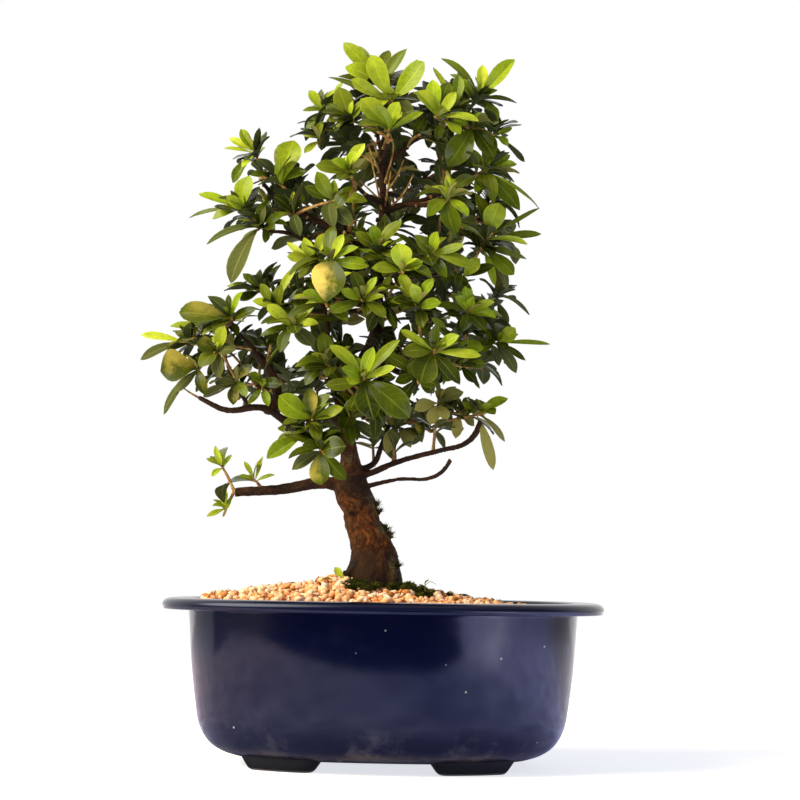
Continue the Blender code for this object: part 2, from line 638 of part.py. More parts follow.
def block_shape(x, half, low, high):
    corners = ((-half, -half), (half, -half), (half, half), (-half, half))
    return loft([[Vector((x + a, b, z)) for a, b in corners] for z in (low, high)])


def make_pot(parts, cutters):
    profile = POT_OUTSIDE + POT_LIP + POT_INSIDE
    feet = [foot_shape(x, y) for x in (-1, 1) for y in (-1, 1)]
    pot = fuse("pot", [loft([oval_ring(*row) for row in profile])] + feet, parts)
    for side in (-1, 1):
        hole = disc_shape(side * DRAIN_X, 0, DRAIN_RADIUS, 0, FLOOR_TOP + 5)
        boolean(pot, "DIFFERENCE", add_object(f"drain_cutter_{side}", hole, cutters))
    return pot


def make_screen(name, side, parts):
    """A plastic net over a drainage hole: a sheet with four openings, thickened."""
    z = FLOOR_TOP + CLEARANCE
    spots = [(side * DRAIN_X + x, y, z) for y in SCREEN_LINES for x in SCREEN_LINES]
    count = len(SCREEN_LINES)
    faces = []
    for row in range(count - 1):
        for column in range(count - 1):
            if row % 2 and column % 2:
                continue
            a = row * count + column
            faces.append((a, a + 1, a + count + 1, a + count))
    screen = add_object(name, (spots, faces), parts)
    sheet = screen.modifiers.new("thickness", "SOLIDIFY")
    sheet.thickness = SCREEN_THICK * MM
    sheet.offset = 1 if screen.data.polygons[0].normal.z > 0 else -1
    return screen


def soil_height(x, y):
    """The height of the soil's surface: a slope, with a mound round the trunk."""
    wide = MOUND_LEFT if x < MOUND_X else MOUND_RIGHT
    mound = MOUND_HEIGHT * math.exp(-((x - MOUND_X) / wide) ** 2 - (y / MOUND_DEEP) ** 2)
    return SOIL_TOP - SOIL_SLOPE * x + mound


def make_soil(parts, cutters):
    inside = [(half - CLEARANCE, z + CLEARANCE) for half, z in reversed(POT_INSIDE)]
    rings = [oval_ring(*row) for row in inside]
    edge = inside[-1][0]
    rings.append([Vector((v.x, v.y, soil_height(v.x, v.y) - EDGE_DROP)) for v in oval_ring(edge, 0)])
    draw = random.Random(SOIL_SEED)
    for share in SOIL_RINGS:
        ring = []
        for v in oval_ring(edge, 0):
            x, y = v.x * share, v.y * share
            relief = draw.uniform(-GRANULE_RELIEF, GRANULE_RELIEF)
            ring.append(Vector((x, y, soil_height(x, y) - EDGE_DROP * share ** 6 + relief)))
        rings.append(ring)
    middle = Vector((MOUND_X / 2, 0, soil_height(MOUND_X / 2, 0)))
    soil = add_object("soil", loft(rings, middle), parts)
    boolean(soil, "DIFFERENCE", add_object("root_hole", trunk_shape(ROOT_CLEARANCE, ROOT_ROWS), cutters))
    for side in (-1, 1):
        half = SCREEN_LINES[-1] + 2 * CLEARANCE
        top = FLOOR_TOP + SCREEN_THICK + 3 * CLEARANCE
        recess = block_shape(side * DRAIN_X, half, FLOOR_TOP - 1, top)
        boolean(soil, "DIFFERENCE", add_object(f"screen_recess_{side}", recess, cutters))
    return soil


def tube_rings(points, radii, sides, lumps=None):
    """Rings along a bent line, each square to it, without twist."""
    rings = []
    across = None
    for i, point in enumerate(points):
        ahead = points[min(i + 1, len(points) - 1)]
        behind = points[max(i - 1, 0)]
        way = (ahead - behind).normalized()
        if across is None:
            across = way.orthogonal().normalized()
        across = (across - way * across.dot(way)).normalized()
        other = way.cross(across)
        ring = []
        for k in range(sides):
            turn = 2 * math.pi * k / sides
            radius = radii[i] * (lumps(i, turn) if lumps else 1)
            ring.append(point + across * (radius * math.cos(turn)) + other * (radius * math.sin(turn)))
        rings.append(ring)
    return rings


def bark_lumps(row, turn):
    """Old wood isn't round: slow swellings that turn as they climb, from the soil up."""
    if row < ROUND_ROWS:
        return 1
    return 1 + 0.07 * math.sin(2 * turn + 0.5 * row) + 0.05 * math.sin(3 * turn - 0.8 * row)


def trunk_shape(extra=0, rows=None):
    rows = TRUNK[:rows]
    points = [Vector(row[:3]) for row in rows]
    points[0].z -= extra
    radii = [row[3] + extra for row in rows]
    return loft(tube_rings(points, radii, TRUNK_SIDES, bark_lumps))


def tube_shape(points, radii, sides):
    return loft(tube_rings(points, radii, sides))


def bough_shape(rows):
    return tube_shape([Vector(row[:3]) for row in rows], [row[3] for row in rows], BOUGH_SIDES)


def blade_shape(root, tip, width, face, extra=0):
    """A leaf: widest past its middle, arched, with thin edges and its rib standing out below."""
    along = tip - root
    length = along.length + extra
    along.normalize()
    side = along.cross(face).normalized()
    above = side.cross(along)
    half = width / 2 + extra
    vertices = [root - along * extra * 0.5]
    for share, wide, arch in BLADE_STATIONS:
        middle = root + along * length * share + above * (arch * length + extra)
        vertices += [middle - side * half * wide, middle + side * half * wide,
                     middle - above * (BLADE_THICK + 2 * extra)]
    vertices.append(root + along * length)
    faces = []
    for i in range(3):
        j = (i + 1) % 3
        faces += [(0, 1 + i, 1 + j), (1 + i, 4 + i, 1 + j), (1 + j, 4 + i, 4 + j), (4 + i, 7, 4 + j)]
    return vertices, faces


class Space:
    """What has been placed: each shape's search tree, with its middle, reach and owner."""

    def __init__(self):
        self.taken = []

    def add(self, shape, owner):
        middle, reach = self.extent(shape)
        self.taken.append((BVHTree.FromPolygons(*shape), middle, reach, owner))

    @staticmethod
    def extent(shape):
        middle = sum((Vector(v) for v in shape[0]), Vector()) / len(shape[0])
        return middle, max((Vector(v) - middle).length for v in shape[0])

    def clear(self, shape, owner=None):
        """True where shape meets nothing, leaving out what its own spray holds."""
        middle, reach = self.extent(shape)
        tree = None
        for other, spot, far, whose in self.taken:
            if whose == owner or (spot - middle).length > reach + far:
                continue
            tree = tree or BVHTree.FromPolygons(*shape)
            if tree.overlap(other):
                return False
        return True


def anchors(bough):
    """Points along a bough every few millimetres, as (point, radius)."""
    found = []
    for a, b in zip(bough, bough[1:]):
        start, end = Vector(a[:3]), Vector(b[:3])
        count = max(1, round((end - start).length / ANCHOR_STEP))
        for i in range(1, count + 1):
            share = i / count
            found.append((start.lerp(end, share), a[3] + (b[3] - a[3]) * share))
    return found


def trunk_axis(z):
    for low, high in zip(TRUNK, TRUNK[1:]):
        if low[2] <= z <= high[2]:
            return Vector(low[:3]).lerp(Vector(high[:3]), (z - low[2]) / (high[2] - low[2]))
    return Vector(TRUNK[-1][:3])


def outward(centre):
    """The way a rosette faces: away from the trunk and up."""
    away = centre - trunk_axis(centre.z - 15)
    away.z = 0
    return (away.normalized() * OUTWARD_SHARE + UP * UPWARD_SHARE).normalized()


def bent_line(start, end, rise, sway):
    """Three points from start to end on a bent stem."""
    reach = end - start
    side = reach.cross(UP)
    side = side.normalized() if side.length > 1e-6 else Vector((1, 0, 0))
    knee = start + reach * KNEE_SHARE + UP * reach.length * rise + side * reach.length * sway
    points = []
    for share in (0, 0.45, 1):
        points.append(start.lerp(knee, share).lerp(knee.lerp(end, share), share))
    return points


def swollen_stem(line, extra):
    """A stem with a margin all round and behind its foot, for testing what it clears."""
    back = (line[0] - line[1]).normalized() * extra
    return tube_shape([line[0] + back] + line[1:], [r + extra for r in STEM_RADII], STEM_SIDES)


def seat_stem(anchor, centre, rise, sway, space, own):
    """A stem from a bough's bark to a rosette: its foot is moved out until it stands just clear."""
    point, radius = anchor
    reach = centre - point
    lean = (reach * KNEE_SHARE + UP * reach.length * rise).normalized()
    for step in range(SEAT_TRIES):
        foot = point + lean * (radius * 0.6 + SEAT_STEP * step)
        line = bent_line(foot, centre, rise, sway)
        if space.clear(swollen_stem(line, SEAT_MARGIN), own):
            return line
    return None


def first_stem(name, centre, wood, space):
    """The spray's own stem, from the nearest wood that lies below it and further in."""
    middle = trunk_axis(centre.z)
    far = (centre - middle).xy.length

    def cost(anchor):
        point = anchor[0]
        above = max(0, point.z - centre.z + 2)
        beyond = max(0, (point - middle).xy.length - far)
        return (centre - point).length + ABOVE_COST * above + BEYOND_COST * beyond

    for anchor in sorted(wood, key=cost)[:ANCHOR_TRIES]:
        if (centre - anchor[0]).length < anchor[1] + SHORTEST_STEM:
            continue
        for rise, sway in BENDS:
            line = seat_stem(anchor, centre, rise, sway, space, name)
            if line:
                return line
    return None


def side_twig(name, centre, lines, space):
    """A twig to one more rosette, from inside a stem that the spray already has."""
    spots = [line[i].lerp(line[i + 1], share) for line in lines for i in (0, 1) for share in (0.3, 0.7)]
    spots.sort(key=lambda spot: (centre - spot).length + TWIG_ABOVE_COST * max(0, spot.z - centre.z))
    for spot in spots:
        for rise, sway in BENDS:
            line = bent_line(spot, centre, rise, sway)
            if space.clear(swollen_stem(line, SEAT_MARGIN), name):
                return line
    return None


def grow_stems(name, centres, wood, space):
    """The lines of a spray's stems, one for each rosette; the first is seated on the wood."""
    line = first_stem(name, centres[0], wood, space)
    if line is None:
        return []
    lines = [line]
    for centre in centres[1:]:
        twig = side_twig(name, centre, lines, space)
        if twig:
            lines.append(twig)
    for line in lines:
        space.add(tube_shape(line, STEM_RADII, STEM_SIDES), name)
    return lines


def grow_leaf(name, root, tip, width, face, space, strict):
    """Place a leaf where it clears all else, turned or shortened a little if it must be."""
    along = tip - root
    side = along.cross(face).normalized()
    for turn, lift, share in LEAF_TRIES:
        spin = Matrix.Rotation(math.radians(turn), 3, face) @ Matrix.Rotation(math.radians(lift), 3, side)
        way = spin @ along * share
        end = root + way
        normal = spin @ face
        wide = width * (0.4 + 0.6 * share)
        if not space.clear(blade_shape(root, end, wide, normal, LEAF_GAP), name):
            continue
        outer = blade_shape(root.lerp(end, 0.22), end, wide, normal)
        if strict and not space.clear(outer, None):
            continue
        blade = (root, end, wide, normal)
        space.add(blade_shape(*blade), name)
        return blade
    return None


def upper_side(along, axis):
    """The way a leaf's upper side faces: towards the rosette's axis, and up."""
    face = axis * FACE_AXIS + UP * FACE_UP
    return (face - along * (face.dot(along) / along.length_squared)).normalized()


def leaf_root(line, i):
    """Leaves sit one below another on the last of the stem, each rooted at its middle."""
    last = line[-2] - line[-1]
    return line[-1] + last.normalized() * min(FIRST_ROOT + NEXT_ROOT * i, last.length * LAST_ROOT)


def rosette_at(line, rosettes):
    """The leaves listed for the rosette that a stem ends in."""
    return rosettes[min(rosettes, key=lambda centre: (Vector(centre) - line[-1]).length)]


def grow_tree(fill_to):
    """Every spray as {name: (stem lines, leaves)}, where a leaf is (root, tip, width, upper side)."""
    space = Space()
    space.add(trunk_shape(), "wood")
    wood = [a for a in anchors(TRUNK) if a[0].z > LOWEST_LEAFY_TRUNK]
    for name, rows in BOUGHS.items():
        space.add(bough_shape(rows), "wood")
        if name != BARE_BOUGH:
            wood += anchors(rows)
    sprays = dict(FRONT_SPRAYS)
    sprays.update({name: [(centre, ()) for centre in centres] for name, centres in BACK_SPRAYS.items()})
    stems = {}
    for name, rosettes in sprays.items():
        stems[name] = grow_stems(name, [Vector(centre) for centre, _ in rosettes], wood, space)
    leaves = {name: [] for name in sprays}
    shown = [(name, line, dict(sprays[name])) for name in sprays for line in stems[name]]
    shown = [(name, line, rosette_at(line, rosettes)) for name, line, rosettes in shown]
    for name, line, seen in shown:
        facing = outward(line[-1]) * FACE_OUT + TO_VIEWER
        for i, (dx, dy, dz, width, tone) in enumerate(seen):
            root = leaf_root(line, i)
            tip = line[-1] + Vector((dx, dy, dz))
            face = upper_side(tip - root, facing)
            blade = grow_leaf(name, root, tip, width, face, space, True)
            blade = blade or grow_leaf(name, root, tip, width, face, space, False)
            if blade:
                leaves[name].append((blade, tone))
    draw = random.Random(LEAF_SEED)
    first, step, loose = FILL_SPREAD
    for name, line, seen in shown:
        axis = outward(line[-1])
        across = axis.orthogonal().normalized()
        start = draw.uniform(0, 2 * math.pi)
        for i in range(fill_to - len(seen)):
            spread = math.radians(first + step * i + draw.uniform(-loose, loose))
            spin = Matrix.Rotation(start + GOLDEN_ANGLE * i, 3, axis)
            way = (axis * math.cos(spread) + (spin @ across) * math.sin(spread))
            way *= draw.uniform(*FILL_LENGTH)
            root = leaf_root(line, len(seen) + i)
            width = draw.uniform(*FILL_WIDTH)
            blade = grow_leaf(name, root, root + way, width, upper_side(way, axis), space, True)
            if blade:
                leaves[name].append((blade, "m"))
    return {name: (stems[name], leaves[name]) for name in sprays}


def make_spray(name, lines, leaves, parts):
    stems = [tube_shape(line, STEM_RADII, STEM_SIDES) for line in lines]
    blades = [blade_shape(*blade) for blade, _ in leaves]
    return fuse(name, stems + blades, parts)


def make_wood(parts):
    return fuse("trunk_and_boughs", [trunk_shape()] + [bough_shape(rows) for rows in BOUGHS.values()], parts)


def place(pieces):
    """Stand the origin under the middle of the whole."""
    view = bpy.context.evaluated_depsgraph_get()
    xs = []
    ys = []
    for piece in pieces:
        for corner in piece.evaluated_get(view).bound_box:
            xs.append(corner[0])
            ys.append(corner[1])
    middle = Vector(((min(xs) + max(xs)) / 2, (min(ys) + max(ys)) / 2, 0))
    for piece in bpy.data.objects:
        piece.location -= middle


def build():
    for old in list(bpy.data.objects):
        bpy.data.objects.remove(old)
    parts = bpy.data.collections.new("azalea_bonsai")
    cutters = bpy.data.collections.new("cutters")
    for collection in (parts, cutters):
        bpy.context.scene.collection.children.link(collection)
    finishes = {name: make_finish(name) for name in FINISHES}
    dressed = [(make_pot(parts, cutters), "navy_plastic")]
    for name, side in (("drain_screen_left", -1), ("drain_screen_right", 1)):
        dressed.append((make_screen(name, side, parts), "black_plastic"))
    dressed.append((make_soil(parts, cutters), "soil_granules"))
    dressed.append((make_wood(parts), "bark"))
    for name, (lines, leaves) in grow_tree(FILL_TO).items():
        if not lines:
            continue
        young = sum(tone == "y" for _, tone in leaves)
        finish = "young_leaf" if 2 * young > len(leaves) else "mature_leaf"
        dressed.append((make_spray(name + "_spray", lines, leaves, parts), finish))
    for piece, finish in dressed:
        piece.data.materials.clear()
        piece.data.materials.append(finishes[finish])
    place([piece for piece, _ in dressed])


build()
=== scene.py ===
"""The looks of a kobai satsuki azalea bonsai in a navy oval pot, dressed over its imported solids.

The tree's plan (trunk, boughs, rosettes and the rule that grows them) is the same as in the part's
source, so every fine leaf and twig lies where its solid does. Plan sizes are in millimetres, centred
on the pot at floor level; here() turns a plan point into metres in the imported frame.
"""

import json
import math
import random
from functools import partial

import bmesh
import bpy
import numpy as np
from mathutils import Matrix, Vector, kdtree, noise
from mathutils.bvhtree import BVHTree


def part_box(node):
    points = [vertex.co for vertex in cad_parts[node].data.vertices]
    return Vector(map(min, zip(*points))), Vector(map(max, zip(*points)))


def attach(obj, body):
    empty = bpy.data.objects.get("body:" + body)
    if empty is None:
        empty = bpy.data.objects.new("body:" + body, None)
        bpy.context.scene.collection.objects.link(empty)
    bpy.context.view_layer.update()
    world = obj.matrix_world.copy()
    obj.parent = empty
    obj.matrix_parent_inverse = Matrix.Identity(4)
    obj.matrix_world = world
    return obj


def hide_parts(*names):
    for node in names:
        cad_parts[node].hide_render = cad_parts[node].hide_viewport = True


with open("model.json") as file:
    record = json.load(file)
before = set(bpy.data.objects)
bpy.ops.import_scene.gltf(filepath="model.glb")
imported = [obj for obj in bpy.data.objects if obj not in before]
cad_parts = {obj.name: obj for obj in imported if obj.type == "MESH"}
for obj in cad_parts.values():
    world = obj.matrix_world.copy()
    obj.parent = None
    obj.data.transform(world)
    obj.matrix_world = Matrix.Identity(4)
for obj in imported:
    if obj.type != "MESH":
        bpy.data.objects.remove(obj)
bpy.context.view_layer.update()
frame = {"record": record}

MM = 0.001
UP = Vector((0, 0, 1))
pot_low, pot_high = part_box("pot")
ORIGIN = Vector(((pot_low[0] + pot_high[0]) / 2, (pot_low[1] + pot_high[1]) / 2, 0))

# The pot: half lengths along X, and the same everywhere less POT_NARROWER along Y.
POT_ROUNDNESS = 2.4
POT_NARROWER = 30
RIM_TOP = 93
FLOOR_TOP = 9.5
UNDERSIDE = 6.0
POT_OUTSIDE = ((84, UNDERSIDE), (91, 8.4), (98, 13.5), (103, 22.5), (105.5, 36), (108.6, 62),
               (110.2, 87.6))
POT_INSIDE = ((106.8, 82), (105.2, 62), (101.6, 34), (98.4, 20), (93, 12.8), (84, FLOOR_TOP))
FOOT_INNER_X = 28
FOOT_OUTER_X = 76
FOOT_WIDTH = 12
FOOT_ON_OVAL = 87
FOOT_SUNK = 2.0
FOOT_DRAFT = 0.6
FOOT_END_DRAFT = 5.0
DRAIN_X = 38
DRAIN_RADIUS = 11

# The soil, and the mound that the trunk stands on.
CLEARANCE = 0.3
SOIL_TOP = 90.2
SOIL_SLOPE = 0.035
MOUND_X = -18
MOUND_HEIGHT = 11.2
MOUND_LEFT = 58
MOUND_RIGHT = 79
MOUND_DEEP = 58
EDGE_DROP = 2.5

# Stems and leaf blades. A blade's stations are shares of its length, of its width, and its arch.
TRUNK_SIDES = 10
ROUND_ROWS = 5
BOUGH_SIDES = 4
STEM_SIDES = 3
STEM_RADII = (1.5, 1.2, 1.4)
BLADE_THICK = 1.4
BLADE_STATIONS = ((0.42, 0.8, 0.07), (0.78, 0.94, 0.06))
LEAF_GAP = 0.4
TO_VIEWER = Vector((0, -1.2, 0))
FILL_TO = 5
GOLDEN_ANGLE = math.radians(137.5)

# A rosette: how far its leaves turn outward and up, and where each is rooted down the stem.
FACE_OUT = 0.4
FACE_AXIS = 0.7
FACE_UP = 0.3
OUTWARD_SHARE = 0.75
UPWARD_SHARE = 0.65
FIRST_ROOT = 0.6
NEXT_ROOT = 0.55
LAST_ROOT = 0.8

# The leaves that fill a rosette: degrees off its axis for the first, more for each next, and at random.
FILL_SPREAD = (62, 9, 8)
FILL_LENGTH = (18, 25)
FILL_WIDTH = (7.5, 10.5)
LEAF_SEED = 11

# What makes an anchor a poor one: a millimetre above the rosette, or further out than it.
ABOVE_COST = 1.2
BEYOND_COST = 0.8
TWIG_ABOVE_COST = 1.5
ANCHOR_STEP = 5
LOWEST_LEAFY_TRUNK = 200
# The short bough that ends bare.
BARE_BOUGH = "bare_right"

# How a stem finds its seat: steps outward from the wood, and bends as (rise, sway) shares of its length.
SEAT_MARGIN = 0.2
SEAT_STEP = 0.2
SEAT_TRIES = 9
ANCHOR_TRIES = 30
SHORTEST_STEM = 5
KNEE_SHARE = 0.55
BENDS = ((0.12, 0), (0, 0.12), (0.2, -0.15), (-0.1, 0.1), (0.3, 0.2), (-0.15, -0.2), (0.1, 0.35),
         (0.1, -0.35))

# How a leaf finds room: degrees turned and lifted, and the share of its length that it keeps.
LEAF_TRIES = ((0, 0, 1), (10, 0, 1), (-10, 0, 1), (0, 10, 1), (0, -10, 1), (14, 14, 0.95),
              (-14, 14, 0.95), (18, -12, 0.9), (-18, -12, 0.9), (0, 24, 0.9), (26, 10, 0.85),
              (-26, 10, 0.85), (0, 0, 0.75), (0, -24, 0.8), (20, 0, 0.7), (-20, 0, 0.7))

# Trunk and boughs: x, y, z and radius at each bend, from where the wood starts to where it ends.
TRUNK = ((-6, 0, 70, 9), (-6, 0, 80, 14), (-6, 0, 92, 18.5), (-6, 0, 101, 17.2), (-6, 0, 108, 16.0),
         (-6, 0, 116, 13.9), (-8, -1, 126, 11.5), (-12, -2, 135, 10.0), (-14, -2, 144, 10.2),
         (-18, -2, 152, 10.4), (-20, -2, 160, 9.6), (-20, -3, 168, 6.6), (-21, -3, 177, 4.9),
         (-22, -5, 190, 4.2), (-21, -2, 207, 4.0), (-17, 3, 225, 4.0), (-9, 4, 241, 4.0),
         (-6, 3, 256, 3.5), (-7, 1, 277, 3.4), (-7, 0, 292, 3.4), (-5, -2, 306, 3.3),
         (-3, -2, 317, 3.2), (-4, -2, 327, 2.4), (-5, -3, 341, 2.1), (-5, -2, 353, 1.8),
         (-3, -3, 365, 1.5), (-1, -3, 376, 1.2))
BOUGHS = {
    "low_left_cut": ((-18, -2, 157, 4.6), (-30, -3, 159, 4.0), (-40, -4, 159, 3.5), (-49, -5, 157, 3.3),
                     (-60, -6, 155, 3.1), (-70, -7, 154, 2.9), (-86, -8, 153, 2.7)),
    "left_pad": ((-21, -3, 178, 3.0), (-35, -8, 185, 2.7), (-46, -11, 188, 2.6), (-55, -13, 192, 2.5),
                 (-65, -15, 199, 2.3), (-73, -17, 201, 2.1), (-90, -19, 199, 1.9), (-106, -21, 206, 1.5)),
    "left_pad_riser": ((-77, -17, 201, 1.6), (-82, -23, 209, 1.4), (-87, -26, 219, 1.3),
                       (-91, -27, 230, 1.2)),
    "old_stub": ((-65, -15, 200, 2.3), (-62, -13, 207, 2.9), (-64, -10, 216, 3.2), (-69, -8, 226, 2.9),
                 (-77, -7, 234, 2.5)),
    "stub_shoot": ((-68, -8, 224, 1.6), (-79, -11, 238, 1.4), (-91, -12, 248, 1.2)),
    "low_right": ((-19, -3, 163, 2.6), (-9, -4, 165, 2.1), (9, -9, 172, 1.8), (32, -14, 178, 1.6),
                  (44, -15, 181, 1.6), (51, -15, 187, 1.9), (54, -13, 195, 1.8)),
    "bare_right": ((-17, -3, 156, 2.2), (-8, -7, 158, 1.6), (9, -20, 161, 1.3), (24, -26, 161, 1.3),
                   (33, -28, 165, 1.4), (38, -29, 172, 1.5)),
    "right_riser": ((-19, -1, 165, 2.4), (-7, 1, 171, 1.9), (-3, 5, 182, 1.6), (0, 8, 191, 1.5),
                    (6, 10, 201, 1.3)),
    "right_arm": ((-16, 3, 224, 2.4), (-4, 0, 226, 2.0), (5, -4, 228, 1.8), (25, -12, 235, 1.5),
                  (39, -13, 238, 1.4), (54, -11, 240, 1.2)),
    "inner_left": ((-22, -5, 192, 2.3), (-29, -14, 209, 2.0), (-33, -20, 228, 1.7), (-33, -24, 248, 1.5),
                   (-38, -27, 266, 1.3)),
    "upper_left": ((-7, 0, 292, 2.6), (-19, -4, 298, 2.3), (-36, -9, 307, 2.0), (-47, -10, 313, 1.8),
                   (-63, -8, 320, 1.6), (-74, -4, 333, 1.4)),
    "upper_left_inner": ((-17, -4, 296, 1.8), (-22, -10, 300, 1.5), (-26, -18, 307, 1.3)),
    "upper_left_low": ((-7, 1, 286, 2.3), (-19, -3, 290, 2.0), (-40, -8, 295, 1.6), (-57, -12, 302, 1.4),
                       (-70, -13, 303, 1.2)),
    "upper_right": ((-3, -2, 317, 2.4), (9, -4, 321, 2.0), (20, -6, 323, 1.8), (41, -7, 334, 1.5),
                    (52, -6, 339, 1.3)),
    "crown_right": ((-5, -3, 342, 1.9), (6, -5, 351, 1.6), (14, -7, 358, 1.5), (32, -9, 365, 1.3),
                    (43, -7, 371, 1.2)),
    "right_mid": ((-7, 1, 284, 2.4), (6, -2, 282, 2.0), (18, -6, 280, 1.8), (38, -9, 282, 1.5),
                  (49, -9, 287, 1.3)),
    "front_low": ((-21, -3, 200, 2.4), (-17, -20, 203, 1.8), (-12, -38, 206, 1.5)),
    "front_right": ((5, -4, 228, 1.8), (12, -22, 226, 1.6), (22, -42, 226, 1.4)),
    "front_mid": ((-7, 2, 258, 2.4), (-8, -20, 257, 1.8), (-10, -42, 255, 1.5)),
    "front_mid_left": ((-8, -20, 257, 1.8), (-19, -34, 254, 1.5), (-27, -44, 252, 1.3)),
    "front_high": ((-7, 1, 278, 2.3), (-1, -20, 273, 1.8), (7, -44, 267, 1.5)),
    "front_upper_left": ((-4, -2, 322, 2.2), (-12, -18, 323, 1.6), (-18, -34, 326, 1.3)),
    "front_crown": ((-5, -3, 345, 2.0), (-2, -18, 348, 1.6), (0, -32, 352, 1.3)),
    "front_upper_right": ((9, -4, 321, 1.9), (20, -22, 317, 1.6), (30, -38, 314, 1.3)),
    "back_low": ((-21, -3, 205, 2.4), (-19, 18, 204, 2.0), (-20, 40, 203, 1.6), (-14, 54, 200, 1.3)),
    "back_left": ((-22, -4, 189, 2.4), (-40, 12, 203, 2.0), (-60, 26, 212, 1.6), (-80, 30, 218, 1.3)),
    "back_right": ((-12, 4, 235, 2.4), (5, 20, 226, 2.0), (20, 38, 224, 1.6), (38, 46, 228, 1.3)),
    "back_mid_left": ((-7, 2, 262, 2.4), (-22, 20, 266, 1.9), (-36, 40, 266, 1.5)),
    "back_mid_right": ((-7, 0, 281, 2.2), (8, 22, 283, 1.9), (26, 44, 286, 1.5)),
    "back_upper_left": ((-6, -1, 300, 2.2), (-18, 16, 306, 1.8), (-36, 28, 313, 1.5), (-52, 30, 318, 1.2)),
    "back_upper": ((-4, -2, 328, 2.1), (0, 18, 331, 1.7), (4, 36, 333, 1.4)),
    "back_upper_right": ((20, -6, 323, 1.8), (33, 14, 318, 1.6), (48, 30, 312, 1.3)),
    "back_crown": ((-5, -2, 353, 1.8), (-8, 13, 361, 1.5), (-10, 22, 371, 1.2)),
}

# Leafy sprays at the back and inside: the centres of their rosettes.
BACK_SPRAYS = {
    "back_crown_a": ((-20, 24, 388), (4, 28, 386)),
    "back_crown_b": ((24, 22, 374), (42, 14, 386)),
    "back_crown_c": ((-30, 30, 362), (-14, 42, 352)),
    "back_crown_d": ((14, 44, 342), (36, 30, 350)),
    "back_upper_left_a": ((-60, 24, 336), (-74, 14, 322)),
    "back_upper_left_b": ((-40, 42, 324), (-54, 44, 306)),
    "back_upper_right_a": ((60, 20, 328), (64, 34, 304)),
    "back_upper_right_b": ((38, 50, 316), (22, 60, 300)),
    "back_mid_left_a": ((-30, 58, 284), (-12, 60, 300)),
    "back_mid_left_b": ((-60, 40, 272), (-46, 56, 256)),
    "back_mid_right_a": ((14, 66, 270), (38, 58, 276)),
    "back_left_pad_a": ((-98, 22, 240), (-78, 40, 238)),
    "back_left_pad_b": ((-64, 50, 222), (-94, 34, 218)),
    "back_right_a": ((58, 32, 254), (62, 20, 272)),
    "back_right_b": ((26, 64, 240), (52, 50, 232)),
    "back_low_a": ((-24, 62, 216), (-42, 44, 232)),
    "back_low_b": ((6, 62, 206), (22, 48, 194)),
}

